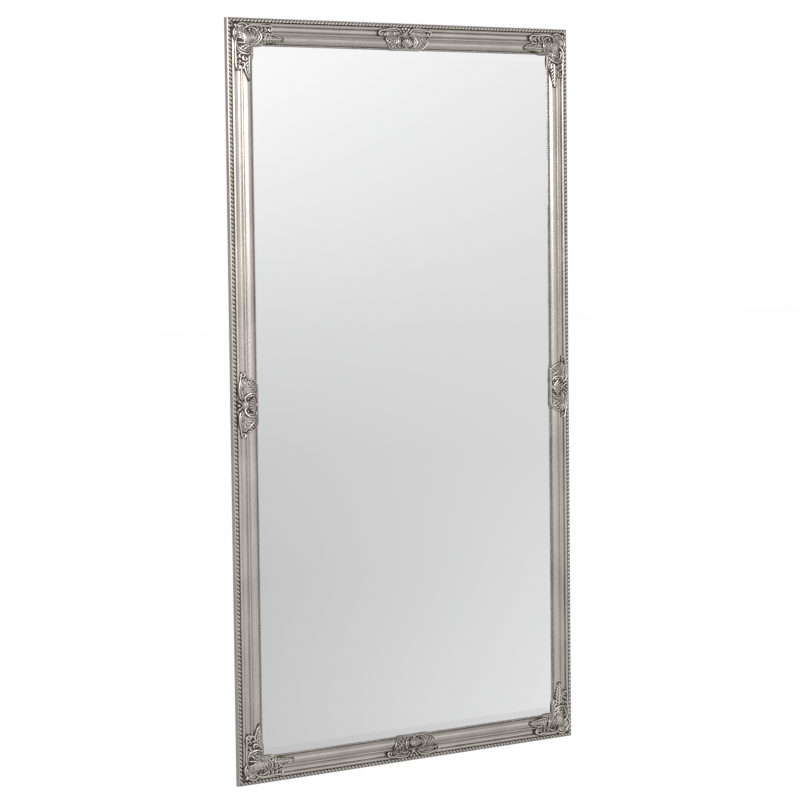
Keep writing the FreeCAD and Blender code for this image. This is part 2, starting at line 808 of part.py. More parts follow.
class Carving:
    # Collects the forms of one half of an ornament. A place is its share of the ornament's reach
    # along the rail and its share of the face's width across it. Radii are shares of that width.
    def __init__(self, reach, start, mirror_normal):
        self.reach = reach
        self.width = value("Sizes.face_width")
        self.tall = value("Sizes.bumper_height + 2 * Sizes.crest_height")
        self.mirror_normal = mirror_normal
        spare = value("Sizes.overrun")
        self.grounds = {
            name: ground_block(value(f"Sizes.{name}"), start, reach + spare)
            for name in ("relief_rise", "band_rise")
        }
        self.forms = []

    def spot(self, place, up=0):
        return Vector(place[0] * self.reach, -up, -place[1] * self.width)

    def on_mitre(self, share):
        # The place on the mitre at a share of the face's width across both rails.
        return share * self.width / self.reach, share

    def around(self, centre, radius, angle):
        # The place at a distance from a centre. Angle 0 points along the rail, 90 to the glass.
        radians = math.radians(angle)
        along = centre[0] + radius * math.cos(radians) * self.width / self.reach
        return along, centre[1] + radius * math.sin(radians)

    def top(self, across):
        return ground_up(across * self.width) + value("Sizes.relief_rise")

    def outline(self, shares, rise):
        # A flat outline carried down to the rail, its top following the ground.
        points = [(self.spot(place), middle) for place, middle in shares]
        edges = []
        for (end, middle), (here, _) in zip(points, points[-1:] + points[:-1]):
            if middle:
                edges.append(Part.Arc(here, self.spot(middle), end).toShape())
            else:
                edges.append(Part.LineSegment(here, end).toShape())
        prism = Part.Face(Part.Wire(edges)).extrude(Vector(0, -self.tall, 0))
        return prism.common(self.grounds[rise])

    def raise_band(self, shares):
        self.forms.append(self.outline(shares, "band_rise"))

    def bow(self, centre, radius, wide, first, last):
        # A C of even width about a centre, from one angle to another.
        angles = (first, (first + last) / 2, last)
        inner, outer = (
            [self.spot(self.around(centre, reach, angle)) for angle in angles]
            for reach in (radius - wide / 2, radius + wide / 2)
        )
        edges = [
            Part.Arc(*inner).toShape(),
            Part.LineSegment(inner[2], outer[2]).toShape(),
            Part.Arc(*reversed(outer)).toShape(),
            Part.LineSegment(outer[0], inner[0]).toShape(),
        ]
        prism = Part.Face(Part.Wire(edges)).extrude(Vector(0, -self.tall, 0))
        self.forms.append(prism.common(self.grounds["band_rise"]))

    def bead(self, place, radius, sink):
        # A ball on the ground, sunk into it by a share of its radius.
        size = radius * self.width
        centre = self.spot(place, self.top(place[1]) - sink * size)
        self.forms.append(Part.makeSphere(size, centre, Vector(0, -1, 0)))

    def row(self, places, radii, count, sink):
        # Beads at even steps from the first place and radius to the last.
        for index in range(count):
            share = index / (count - 1)
            place = [near + share * (far - near) for near, far in zip(*places)]
            radius = radii[0] + share * (radii[1] - radii[0])
            self.bead(place, radius, sink)

    def rod(self, first, last, across, radius):
        start = self.spot((first, across), self.top(across))
        length = (last - first) * self.reach
        cylinder = Part.makeCylinder(
            radius * self.width, length, start, Vector(1, 0, 0)
        )
        self.forms.append(cylinder)

    def volute(self, place, radius, wire, eye):
        # A ring with an eye on a stem in it, lying level at the height of the rod.
        up = self.top(ground_shares[1][0][0])
        floor = value("Sizes.bumper_height + Sizes.edge_height / 2")
        centre, foot = self.spot(place, up), self.spot(place, floor)
        out = Vector(0, -1, 0)
        ring = Part.makeTorus(radius * self.width, wire * self.width, centre, out)
        ball = Part.makeSphere(eye * self.width, centre, out)
        stem = Part.makeCylinder(eye * self.width, up - floor, foot, out)
        self.forms += [ring, ball, stem]

    def rib(self, root, tip, root_radius, tip_radius):
        # A round rib that widens from its root to its tip along the ground.
        start, end = (self.spot(place, self.top(place[1])) for place in (root, tip))
        way = end - start
        small, large = root_radius * self.width, tip_radius * self.width
        self.forms.append(Part.makeCone(small, large, way.Length, start, way))
        self.forms.append(Part.makeSphere(large, end))

    def fan(self, centre, angles, reaches, radii):
        # Ribs that spread from near a centre to far from it.
        for angle in angles:
            root, tip = (self.around(centre, reach, angle) for reach in reaches)
            self.rib(root, tip, *radii)

    def cast(self, base_shares, half_space, rail):
        # Joins the forms on their base, cuts them to the half and to the rail, and mirrors them.
        # The cut leaves the casting and the scraps under the rail, so the largest solid is kept.
        half = self.outline(base_shares, "relief_rise")
        for form in self.forms:
            half = half.fuse(form)
        half = half.common(half_space)
        for cutter in rail:
            half = half.cut(cutter)
        casting = max(half.Solids, key=lambda solid: solid.Volume)
        other = casting.mirror(Vector(), self.mirror_normal)
        return casting.fuse(other).removeSplitter()


def rail_cutters(corner_x):
    # The top rail and the cover over its pearls, seen from an ornament's frame, with a thin bed
    # of glue left between them and the ornament.
    rail = doc.getObject(rail_names["top"]).Shape.copy()
    bed = value("Sizes.bed_gap")
    rail.translate(Vector(corner_x, -bed, -value(sides["top"][1])))
    low, high = value(bead_start), value("Sizes.face_width")
    seat = value("Sizes.bumper_height + Sizes.bead_seat_height")
    tall = value("Sizes.bead_diameter / 2 + Sizes.bead_cover_gap")
    length = value(sides["top"][0])
    corner = Vector(corner_x - length / 2, -seat - tall, -high)
    cover = Part.makeBox(length, tall, high - low, corner)
    return [rail, cover]


# One arm of a corner, from the mitre to the tip of its leaf: the outline of its base, then its
# rod, volutes, large C, the leaf along the crest, the boss with its fan and the small outer crest.
bead_sink_share = 0.3
corner_base_shares = (
    ((0.079, 0.177), None),
    ((0.138, 0.154), None),
    ((0.221, 0.177), (0.183, 0.151)),
    ((0.276, 0.234), None),
    ((0.717, 0.234), None),
    ((0.834, 0.362), (0.803, 0.262)),
    ((0.766, 0.477), (0.817, 0.454)),
    ((0.71, 0.523), None),
    ((0.752, 0.615), None),
    ((0.952, 0.674), (0.855, 0.625)),
    ((0.952, 0.815), (1, 0.745)),
    ((0.759, 0.9), (0.855, 0.869)),
    ((0.648, 0.982), (0.69, 0.923)),
    ((0.428, 0.982), None),
)
corner_rod_shares = (0.345, 0.759, 0.28, 0.032)
corner_volute_shares = (
    ((0.779, 0.374), 0.08, 0.029, 0.037),
    ((0.317, 0.346), 0.065, 0.026, 0.031),
)
corner_bow_shares = ((0.428, 0.677), 0.36, 0.052)
corner_bow_angles = (-66, 62)
leaf_spine_shares = ((0.952, 0.745), (0.634, 0.76), 0.02, 0.065)
leaf_tip_shares = ((0.965, 0.745), 0.045)
leaf_edge_shares = (
    ((0.662, 0.638), (0.91, 0.684)),
    ((0.669, 0.892), (0.91, 0.831)),
)
leaf_lobe_shares = (0.052, 0.034)
leaf_lobe_count = 5
boss_share = 0.677
boss_radius_share = 0.146
boss_sink_share = 0.55
boss_fan_angles = (45, 20, -5, -30)
boss_fan_shares = ((0.14, 0.32), (0.015, 0.034))
crest_boss_share = 0.33
crest_boss_radius_share = 0.085
crest_bead_shares = (
    ((0.193, 0.223), 0.049),
    ((0.238, 0.25), 0.043),
    ((0.276, 0.277), 0.037),
)

# One half of a middle ornament: the outline of its base and of its panel's rim, then its rod,
# volutes, crest of beads, the shell with its fan, the C and the lobes beside them.
middle_base_shares = (
    ((-0.027, 0.151), None),
    ((0.047, 0.151), None),
    ((0.12, 0.203), (0.093, 0.163)),
    ((0.227, 0.234), None),
    ((0.827, 0.234), None),
    ((1, 0.369), (0.951, 0.277)),
    ((0.88, 0.477), (0.967, 0.454)),
    ((0.76, 0.5), None),
    ((0.707, 0.954), (0.793, 0.723)),
    ((0.667, 0.982), None),
    ((-0.027, 0.982), None),
)
panel_rim_shares = (
    ((0.76, 0.5), None),
    ((0.707, 0.954), (0.793, 0.723)),
    ((0.667, 0.982), None),
    ((0.624, 0.982), None),
    ((0.671, 0.928), None),
    ((0.72, 0.542), (0.757, 0.723)),
    ((0.267, 0.542), None),
    ((0.267, 0.5), None),
)
middle_rod_shares = (0.187, 0.827, 0.28, 0.032)
middle_volute_shares = (
    ((0.897, 0.374), 0.08, 0.029, 0.037),
    ((0.131, 0.351), 0.062, 0.026, 0.031),
)
middle_bow_shares = ((0.587, 0.738), 0.215, 0.046)
middle_bow_angles = (115, 245)
shell_share = 0.554
shell_fan_angles = (90, 65, 40, 15)
shell_fan_shares = ((0, 0.34), (0.015, 0.04))
middle_bead_shares = (
    ((0, 0.203), 0.048),
    ((0.072, 0.24), 0.04),
    ((0, 0.523), 0.075),
    ((0.613, 0.615), 0.06),
    ((0.667, 0.754), 0.065),
    ((0.613, 0.885), 0.055),
)


def make_corner():
    # One arm lies along the top rail and its mirror image along the left stile.
    reach = value("Sizes.corner_reach")
    carving = Carving(reach, 0, Vector(1, 0, 1))
    far = reach + value("Sizes.overrun")
    triangle = [Vector(), Vector(far, 0, 0), Vector(far, 0, -far), Vector()]
    face = Part.Face(Part.makePolygon(triangle))
    half_space = face.extrude(Vector(0, -carving.tall, 0))
    carving.rod(*corner_rod_shares)
    for shares in corner_volute_shares:
        carving.volute(*shares)
    carving.bow(*corner_bow_shares, *corner_bow_angles)
    carving.rib(*leaf_spine_shares)
    for shares in leaf_edge_shares:
        carving.row(shares, leaf_lobe_shares, leaf_lobe_count, bead_sink_share)
    carving.bead(*leaf_tip_shares, bead_sink_share)
    centre = carving.on_mitre(boss_share)
    carving.fan(centre, boss_fan_angles, *boss_fan_shares)
    carving.bead(centre, boss_radius_share, boss_sink_share)
    centre = carving.on_mitre(crest_boss_share)
    carving.bead(centre, crest_boss_radius_share, bead_sink_share)
    for shares in crest_bead_shares:
        carving.bead(*shares, bead_sink_share)
    cutters = rail_cutters(value(sides["top"][0]) / 2)
    return carving.cast(corner_base_shares, half_space, cutters)


def make_middle():
    # The half to the right of the rail's middle and its mirror image.
    reach = value("Sizes.middle_reach")
    spare = value("Sizes.overrun")
    carving = Carving(reach, -spare, Vector(1, 0, 0))
    far, tall, wide = reach + spare, carving.tall, carving.width
    half_space = Part.makeBox(far, tall, wide, Vector(0, -tall, -wide))
    carving.rod(*middle_rod_shares)
    for shares in middle_volute_shares:
        carving.volute(*shares)
    carving.raise_band(panel_rim_shares)
    carving.fan((0, shell_share), shell_fan_angles, *shell_fan_shares)
    carving.bow(*middle_bow_shares, *middle_bow_angles)
    for shares in middle_bead_shares:
        carving.bead(*shares, bead_sink_share)
    return carving.cast(middle_base_shares, half_space, rail_cutters(0))


def place_ornaments():
    # The same casting serves all four corners, and another all four middles.
    pieces = []
    corner = make_corner()
    half_width, half_height = value(sides["left"][1]), value(sides["top"][1])
    corners = {
        "top_left": (-half_width, half_height, 0),
        "top_right": (half_width, half_height, 90),
        "bottom_right": (half_width, -half_height, 180),
        "bottom_left": (-half_width, -half_height, 270),
    }
    for name, (x, z, turn) in corners.items():
        piece = add_shape(f"corner_ornament_{name}", corner)
        turned = Rotation(Vector(0, 1, 0), turn)
        piece.Placement = Placement(Vector(x, 0, z), turned)
        pieces.append(piece)
    middle = make_middle()
    for side, (_, reach, _, _) in sides.items():
        piece = add_shape(f"middle_ornament_{side}", middle)
        turned = side_turn(side)
        outwards = turned.multVec(Vector(0, 0, value(reach)))
        piece.Placement = Placement(outwards, turned)
        pieces.append(piece)
    return pieces


nodes = [make_rail(side) for side in sides]
nodes += [make_rope(side) for side in sides]
nodes += [make_beads(side) for side in sides]
nodes += place_ornaments()
nodes.append(make_glass())
nodes.append(make_sheet("cushion_sheet", glass_back, "Sizes.cushion_thickness"))
nodes.append(make_sheet("backing_board", board_front, "Sizes.board_thickness"))
nodes.append(make_glazing_points())
nodes.append(make_nails())
plates = [make_hanger_plate(side) for side in sides]
nodes += plates
nodes += [make_ring(side) for side in sides]
doc.recompute()
nodes.append(make_screws(plates))
bumpers = {
    "wall_bumper_top_left": (-1, 1),
    "wall_bumper_top_right": (1, 1),
    "wall_bumper_bottom_left": (-1, -1),
    "wall_bumper_bottom_right": (1, -1),
}
nodes += [make_bumper(name, *flips) for name, flips in bumpers.items()]
doc.recompute()

for item in doc.Objects:
    if {"Invalid", "Error"} & set(item.State):
        raise RuntimeError(f"{item.Label} did not recompute")
for node in nodes:
    if node.Shape.isNull() or not node.Shape.isValid():
        raise RuntimeError(f"{node.Label} has no sound shape")

os.makedirs("parts", exist_ok=True)
for node in nodes:
    node.Shape.exportStep(f"parts/{node.Label}.step")
    solids = len(node.Shape.Solids)
    print(f"{node.Label}: {solids} solid(s), {node.Shape.Volume:.0f} mm3")
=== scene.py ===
import bpy
import math
import numpy as np
from mathutils import Matrix, Vector


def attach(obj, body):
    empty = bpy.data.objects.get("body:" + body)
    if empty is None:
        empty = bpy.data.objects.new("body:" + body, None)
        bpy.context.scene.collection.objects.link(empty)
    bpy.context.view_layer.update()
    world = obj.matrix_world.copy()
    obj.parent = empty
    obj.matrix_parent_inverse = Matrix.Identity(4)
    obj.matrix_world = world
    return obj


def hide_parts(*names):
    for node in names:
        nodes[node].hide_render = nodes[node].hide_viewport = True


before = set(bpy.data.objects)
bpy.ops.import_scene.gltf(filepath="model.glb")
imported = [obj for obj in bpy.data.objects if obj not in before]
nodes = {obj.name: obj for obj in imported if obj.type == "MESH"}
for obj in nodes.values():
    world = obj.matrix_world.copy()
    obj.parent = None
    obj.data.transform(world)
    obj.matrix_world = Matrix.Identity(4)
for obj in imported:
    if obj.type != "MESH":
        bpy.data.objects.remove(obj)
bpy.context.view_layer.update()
print("frame loaded:", len(nodes), "nodes")

mm = 0.001

# The frame's outer size, and how far its back stands off the wall.
mirrorSize = {"width": 1000, "height": 1800, "standOff": 6}
halfWide, halfTall = mirrorSize["width"] / 2, mirrorSize["height"] / 2

# Each side is made as the top rail and turned about Y: length, distance from the middle, turn in
# degrees and the way its rope leans.
sides = {
    "top": (mirrorSize["width"], halfTall, 0, 1),
    "right": (mirrorSize["height"], halfWide, 90, -1),
    "bottom": (mirrorSize["width"], halfTall, 180, -1),
    "left": (mirrorSize["height"], halfWide, 270, 1),
}
# The rail of each side, and where each corner is: x, z and the turn of its ornament in degrees.
railNodes = {"top": "top_rail", "right": "right_stile", "bottom": "bottom_rail", "left": "left_stile"}
cornerPlaces = {
    "top_left": (-halfWide, halfTall, 0),
    "top_right": (halfWide, halfTall, 90),
    "bottom_right": (halfWide, -halfTall, 180),
    "bottom_left": (-halfWide, -halfTall, 270),
}


def take(*pieces):
    # selects these pieces and makes the first the active one
    bpy.ops.object.select_all(action="DESELECT")
    for piece in pieces:
        piece.select_set(True)
    bpy.context.view_layer.objects.active = pieces[0]


def settle(piece):
    # the piece's place, turn and scale go into its mesh
    take(piece)
    bpy.ops.object.transform_apply(location=True, rotation=True, scale=True)


def finishWith(piece, kind, **settings):
    take(piece)
    modifier = piece.modifiers.new(kind.lower(), kind)
    for name, setting in settings.items():
        setattr(modifier, name, setting)
    bpy.ops.object.modifier_apply(modifier=modifier.name)


def joinAs(pieces, name):
    take(*pieces)
    bpy.ops.object.join()
    joined = bpy.context.view_layer.objects.active
    joined.name = joined.data.name = name
    return joined


def editAll(piece):
    take(piece)
    bpy.ops.object.mode_set(mode="EDIT")
    bpy.ops.mesh.select_all(action="SELECT")


def doneEditing():
    bpy.ops.object.mode_set(mode="OBJECT")


def evenNormals():
    bpy.ops.mesh.select_all(action="SELECT")
    bpy.ops.mesh.normals_make_consistent(inside=False)


def makeOutline(spots):
    # a closed line through these spots
    bpy.ops.mesh.primitive_circle_add(vertices=len(spots), radius=0.05, fill_type="NOTHING")
    outline = bpy.context.object
    movePoints(outline, np.array(spots))
    return outline


def drawOut(outline, way):
    # fills the outline and draws it out to a solid
    editAll(outline)
    bpy.ops.mesh.edge_face_add()
    bpy.ops.mesh.extrude_region_move(TRANSFORM_OT_translate={"value": way})
    evenNormals()
    doneEditing()


def cutAway(piece, place, normal):
    # cuts off what lies on the normal's side of a plane and closes the cut
    editAll(piece)
    bpy.ops.mesh.bisect(
        plane_co=place, plane_no=normal, use_fill=True, clear_outer=True, threshold=1e-7
    )
    doneEditing()


def cutMitres(piece, length, reach):
    for end in (1, -1):
        place = (end * length / 2 * mm, 0, reach * mm)
        cutAway(piece, place, (end, 0, -1))


def turnToSide(piece, degrees):
    piece.data.transform(Matrix.Rotation(math.radians(degrees), 4, "Y"))


def places(piece):
    spots = np.empty(len(piece.data.vertices) * 3, np.float32)
    piece.data.vertices.foreach_get("co", spots)
    return spots.reshape(-1, 3)


def movePoints(piece, spots):
    piece.data.vertices.foreach_set("co", spots.astype(np.float32).ravel())
    piece.data.update()


def paint(piece, name, values):
    # one number for every point of the piece, read by its finish
    layer = piece.data.attributes.get(name) or piece.data.attributes.new(name, "FLOAT", "POINT")
    layer.data.foreach_set("value", np.asarray(values, np.float32))


def layRun(piece):
    # along, across and up in the rail's own direction, so that grain follows each rail
    layer = piece.data.attributes.new("run", "FLOAT_VECTOR", "POINT")
    layer.data.foreach_set("vector", places(piece).ravel())


def copyOf(piece, name):
    other = piece.copy()
    other.data = piece.data.copy()
    other.name = other.data.name = name
    bpy.context.scene.collection.objects.link(other)
    return other


# Colours and wear of the silver, and the colours of the bare wood. Grime, which here also carries
# painted shade, runs from 0 to 1; the patina colour also paints that shade.
finishes = {
    "silver": (0.68, 0.625, 0.58),
    "coolSilver": (0.60, 0.56, 0.525),
    "rubbed": (0.89, 0.84, 0.785),
    "patinaAndShade": (0.054, 0.036, 0.026),
    "dust": (0.30, 0.27, 0.235),
    "rawWood": ((0.46, 0.315, 0.185), (0.60, 0.44, 0.28)),
    "woodPores": (0.28, 0.18, 0.10),
    "bareRange": (0.44, 0.56),
    "grainScale": (5.0, 160.0, 160.0),
    "poreScale": (30.0, 1500.0, 1500.0),
    "poreDepth": 1.5,
    "rawRoughness": 0.35,
    "silverRoughness": 0.3,
    "patinaRoughness": 0.62,
    "rubbedPolish": 0.08,
    "metallic": 0.93,
    "patinaDull": 0.75,
    "patinaAndShadeRange": (0.46, 0.86),
    "rubbedRange": (0.34, 0.08),
    "broadScale": 9.0,
    "mottleScale": 260.0,
    "dustRange": (0.48, 0.72),
    "dustShare": 0.3,
    "bumpDepth": 0.0002,
}

# For each silvered piece: streaks per metre, bump, strength of the mottle and how far it is rubbed.
silvering = {
    "rail": ((5.0, 300.0, 300.0), 0.14, 0.03, 0.3),
    "rope": ((400.0, 400.0, 400.0), 0.35, 0.08, 0.35),
    "beads": ((500.0, 500.0, 500.0), 0.25, 0.05, 0.8),
    "casting": ((350.0, 350.0, 350.0), 0.5, 0.12, 1.0),
}

# Colours of the other pieces; a pair runs from one tone to the other.
otherTones = {
    "glass": ((0.945, 0.95, 0.948), (0.955, 0.957, 0.955)),
    "board": ((0.215, 0.125, 0.068), (0.32, 0.20, 0.115)),
    "boardSpecks": (0.10, 0.055, 0.03),
    "boardStains": (0.19, 0.11, 0.062),
    "foam": ((0.80, 0.80, 0.78), (0.90, 0.90, 0.88)),
    "dullMetal": (0.33, 0.32, 0.30),
    "rubber": ((0.030, 0.030, 0.031), (0.045, 0.044, 0.043)),
    "wallDust": (0.20, 0.195, 0.185),
}

# How deep their textures are: strength, and depth in metres.
bumps = {
    "board": (0.35, 0.0002),
    "foam": (0.4, 0.0003),
    "metal": (0.15, 0.0001),
    "rubber": (0.3, 0.0001),
}

# Each plated metal: its light and dark tone, least roughness and spangles per metre.
platings = {
    "glazingSteel": ((0.62, 0.61, 0.59), (0.52, 0.51, 0.50), 0.28, 120.0),
    "zincPlate": ((0.66, 0.67, 0.68), (0.52, 0.54, 0.56), 0.3, 260.0),
    "zincWire": ((0.70, 0.71, 0.72), (0.60, 0.61, 0.63), 0.22, 500.0),
    "zincScrew": ((0.68, 0.66, 0.58), (0.56, 0.54, 0.46), 0.25, 700.0),
}


class NodeSheet:
    # a small helper that adds nodes to a tree and wires them by name
    def __init__(self, tree):
        self.tree = tree

    def add(self, kind, inputs=None, **settings):
        node = self.tree.nodes.new(kind)
        for name, setting in settings.items():
            setattr(node, name, setting)
        for name, given in (inputs or {}).items():
            self.feed(node.inputs[name], given)
        return node

    def feed(self, socket, given):
        if isinstance(given, bpy.types.NodeSocket):
            self.tree.links.new(given, socket)
        elif isinstance(given, (tuple, list)) and socket.type == "RGBA" and len(given) == 3:
            socket.default_value = (*given, 1)
        else:
            socket.default_value = given

    def math(self, operation, first, second=0.0, clamp=False):
        node = self.add("ShaderNodeMath", {0: first, 1: second}, operation=operation, use_clamp=clamp)
        return node.outputs[0]

    def noise(self, vector, scale, detail=3.0, roughness=0.55):
        inputs = {"Vector": vector, "Scale": scale, "Detail": detail, "Roughness": roughness}
        return self.add("ShaderNodeTexNoise", inputs).outputs["Fac"]

    def rise(self, value, low, high, start=0.0, end=1.0):
        # goes smoothly from start to end as the value goes from low to high
        inputs = {"Value": value, "From Min": low, "From Max": high, "To Min": start, "To Max": end}
        return self.add("ShaderNodeMapRange", inputs, interpolation_type="SMOOTHSTEP").outputs["Result"]

    def mix(self, factor, first, second):
        node = self.add("ShaderNodeMix", data_type="RGBA")
        self.feed(node.inputs[0], factor)
        self.feed(node.inputs[6], first)
        self.feed(node.inputs[7], second)
        return node.outputs[2]

    def stretch(self, vector, scale):
        node = self.add("ShaderNodeMapping", {"Vector": vector})
        node.inputs["Scale"].default_value = scale
        return node.outputs["Vector"]

    def attribute(self, name, output="Fac"):
        return self.add("ShaderNodeAttribute", attribute_name=name).outputs[output]

def newGroup(name, inputs, outputs):
    tree = bpy.data.node_groups.new(name, "ShaderNodeTree")
    for side, sockets in (("INPUT", inputs), ("OUTPUT", outputs)):
        for label, kind in sockets.items():
            tree.interface.new_socket(label, in_out=side, socket_type="NodeSocket" + kind)
    sheet = NodeSheet(tree)
    return sheet, sheet.add("NodeGroupInput"), sheet.add("NodeGroupOutput")


def makeAgedSilver():
    # silver paint with brown patina where the grime and painted shade lie, and rubbed metal on the high
    # places
    inputs = {"Spot": "Vector", "Streak": "Vector", "GrimeAndShade": "Float", "Mottle": "Float", "Rub": "Float"}
    outputs = {"Color": "Color", "Metallic": "Float", "Roughness": "Float", "Height": "Float"}
    sheet, given, result = newGroup("agedSilver", inputs, outputs)
    spot, streak, grimeAndShade, strength, rub = (given.outputs[name] for name in inputs)
    broad = sheet.noise(spot, finishes["broadScale"], 3.0)
    mottle = sheet.noise(spot, finishes["mottleScale"], 4.0, 0.6)
    brush = sheet.noise(streak, 1.0, 4.0, 0.6)
    speckle = sheet.math("MULTIPLY", sheet.rise(mottle, 0.3, 0.7, -1.0, 1.0), strength)
    darkLevel = sheet.math("ADD", grimeAndShade, speckle)
    darkLevel = sheet.math("ADD", darkLevel, sheet.rise(broad, 0.35, 0.65, -0.03, 0.04))
    # one mask darkens both the real patina and the painted shade in quirks and gaps
    patinaAndShadeMask = sheet.rise(darkLevel, *finishes["patinaAndShadeRange"])
    rubbed = sheet.math("MULTIPLY", sheet.rise(darkLevel, *finishes["rubbedRange"]), rub)
    colour = sheet.mix(sheet.rise(broad, 0.3, 0.7), finishes["silver"], finishes["coolSilver"])
    colour = sheet.mix(rubbed, colour, finishes["rubbed"])
    dust = sheet.rise(brush, *finishes["dustRange"], 0.0, finishes["dustShare"])
    colour = sheet.mix(dust, colour, finishes["dust"])
    colour = sheet.mix(patinaAndShadeMask, colour, finishes["patinaAndShade"])
    metallic = sheet.math("MULTIPLY_ADD", patinaAndShadeMask, -finishes["patinaDull"])
    metallic.node.inputs[2].default_value = finishes["metallic"]
    rough = sheet.rise(patinaAndShadeMask, 0.0, 1.0, finishes["silverRoughness"], finishes["patinaRoughness"])
    rough = sheet.math("SUBTRACT", rough, sheet.math("MULTIPLY", rubbed, finishes["rubbedPolish"]))
    rough = sheet.math("ADD", rough, sheet.rise(mottle, 0.3, 0.7, -0.05, 0.06))
    height = sheet.math("MULTIPLY", mottle, 0.5)
    height = sheet.math("ADD", height, sheet.math("MULTIPLY", brush, 0.5))
    for name, made in zip(outputs, (colour, metallic, rough, height)):
        sheet.feed(result.inputs[name], made)
    return sheet.tree


agedSilver = makeAgedSilver()


def newMaterial(name):
    # the sheet of a new material, and the spot on the object that its textures follow
    material = bpy.data.materials.new(name)
    material.use_nodes = True
    sheet = NodeSheet(material.node_tree)
    sheet.material = material
    return sheet, sheet.add("ShaderNodeTexCoord").outputs["Object"]


def surfaceOf(sheet, colour, rough, metallic=0.0, height=None, strength=0.0, depth=0.0):
    # what every finish ends with; without a height it has no bump
    shader = sheet.tree.nodes["Principled BSDF"]
    sheet.feed(shader.inputs["Base Color"], colour)
    sheet.feed(shader.inputs["Roughness"], rough)
    sheet.feed(shader.inputs["Metallic"], metallic)
    if height is not None:
        bump = sheet.add("ShaderNodeBump", {"Height": height, "Strength": strength, "Distance": depth})
        sheet.feed(shader.inputs["Normal"], bump.outputs["Normal"])
    return sheet.material


def silverOn(sheet, spot, run, piece):
    # colour, metallic, roughness and height of the aged silver, brushed along the run
    streaks, _, mottle, rub = silvering[piece]
    node = sheet.add("ShaderNodeGroup", node_tree=agedSilver)
    given = (spot, sheet.stretch(run, streaks), sheet.attribute("grimeAndShade"), mottle, rub)
    for socket, fed in zip(node.inputs, given):
        sheet.feed(socket, fed)
    return node.outputs


def makeSilverMaterial(name, piece):
    sheet, spot = newMaterial(name)
    colour, metallic, rough, height = silverOn(sheet, spot, spot, piece)
    bump = silvering[piece][1]
    return surfaceOf(sheet, colour, rough, metallic, height, bump, finishes["bumpDepth"])


def makeRailMaterial():
    # silver over the front and the edge, bare pine on the back and in the rebate
    sheet, spot = newMaterial("silveredWood")
    run = sheet.attribute("run", "Vector")
    silver, metallic, rough, height = silverOn(sheet, spot, run, "rail")
    bare = sheet.attribute("bare")
    edge = sheet.math("ADD", bare, sheet.rise(sheet.noise(spot, 120.0, 4.0), 0.3, 0.7, -0.25, 0.25))
    bareMask = sheet.rise(edge, *finishes["bareRange"])
    grain = sheet.noise(sheet.stretch(run, finishes["grainScale"]), 1.0, 5.0, 0.6)
    pores = sheet.noise(sheet.stretch(run, finishes["poreScale"]), 1.0, 3.0, 0.5)
    wood = sheet.mix(sheet.rise(grain, 0.35, 0.68), *finishes["rawWood"])
    poreMask = sheet.math("MULTIPLY", sheet.rise(pores, 0.52, 0.72), 0.35)
    wood = sheet.mix(poreMask, wood, finishes["woodPores"])
    colour = sheet.mix(bareMask, silver, wood)
    metallic = sheet.math("MULTIPLY", metallic, sheet.math("SUBTRACT", 1.0, bareMask))
    extra = sheet.math("MULTIPLY", bareMask, finishes["rawRoughness"])
    rough = sheet.math("ADD", rough, extra, clamp=True)
    woodHeight = sheet.math("MULTIPLY", sheet.math("MULTIPLY", pores, bareMask), finishes["poreDepth"])
    height = sheet.math("ADD", height, woodHeight)
    bump = silvering["rail"][1]
    return surfaceOf(sheet, colour, rough, metallic, height, bump, finishes["bumpDepth"])


def makeGlassMaterial():
    # silvered plate: only a breath of haze and polishing marks over a clean mirror
    sheet, spot = newMaterial("mirrorGlass")
    haze = sheet.noise(spot, 2.2, 3.0)
    wipes = sheet.noise(sheet.stretch(spot, (3.0, 3.0, 14.0)), 1.0, 5.0, 0.6)
    tone = sheet.mix(sheet.rise(haze, 0.3, 0.7), *otherTones["glass"])
    smears = sheet.rise(wipes, 0.45, 0.8, 0.0, 0.01)
    rough = sheet.math("ADD", sheet.rise(haze, 0.3, 0.7, 0.012, 0.022), smears)
    return surfaceOf(sheet, tone, rough, 1.0)


def makeBoardMaterial():
    # pressed fibre board: brown, with fine darker and lighter fibres and faint stains
    sheet, spot = newMaterial("backingBoard")
    fibres = sheet.noise(sheet.stretch(spot, (700.0, 700.0, 180.0)), 1.0, 4.0, 0.65)
    specks = sheet.noise(spot, 900.0, 2.0)
    shadeBands = sheet.noise(spot, 5.0, 4.0)
    colour = sheet.mix(sheet.rise(fibres, 0.35, 0.65), *otherTones["board"])
    speckMask = sheet.math("MULTIPLY", sheet.rise(specks, 0.6, 0.75), 0.5)
    colour = sheet.mix(speckMask, colour, otherTones["boardSpecks"])
    colour = sheet.mix(sheet.rise(shadeBands, 0.4, 0.75, 0.0, 0.3), colour, otherTones["boardStains"])
    rough = sheet.rise(fibres, 0.3, 0.7, 0.5, 0.72)
    return surfaceOf(sheet, colour, rough, 0.0, fibres, *bumps["board"])


def makeFoamMaterial():
    # pale closed-cell foam
    sheet, spot = newMaterial("cushionFoam")
    cells = sheet.add("ShaderNodeTexVoronoi", {"Vector": spot, "Scale": 700.0}).outputs["Distance"]
    tone = sheet.mix(sheet.rise(cells, 0.1, 0.6), *otherTones["foam"])
    rough = sheet.rise(cells, 0.0, 0.6, 0.75, 0.9)
    return surfaceOf(sheet, tone, rough, 0.0, cells, *bumps["foam"])


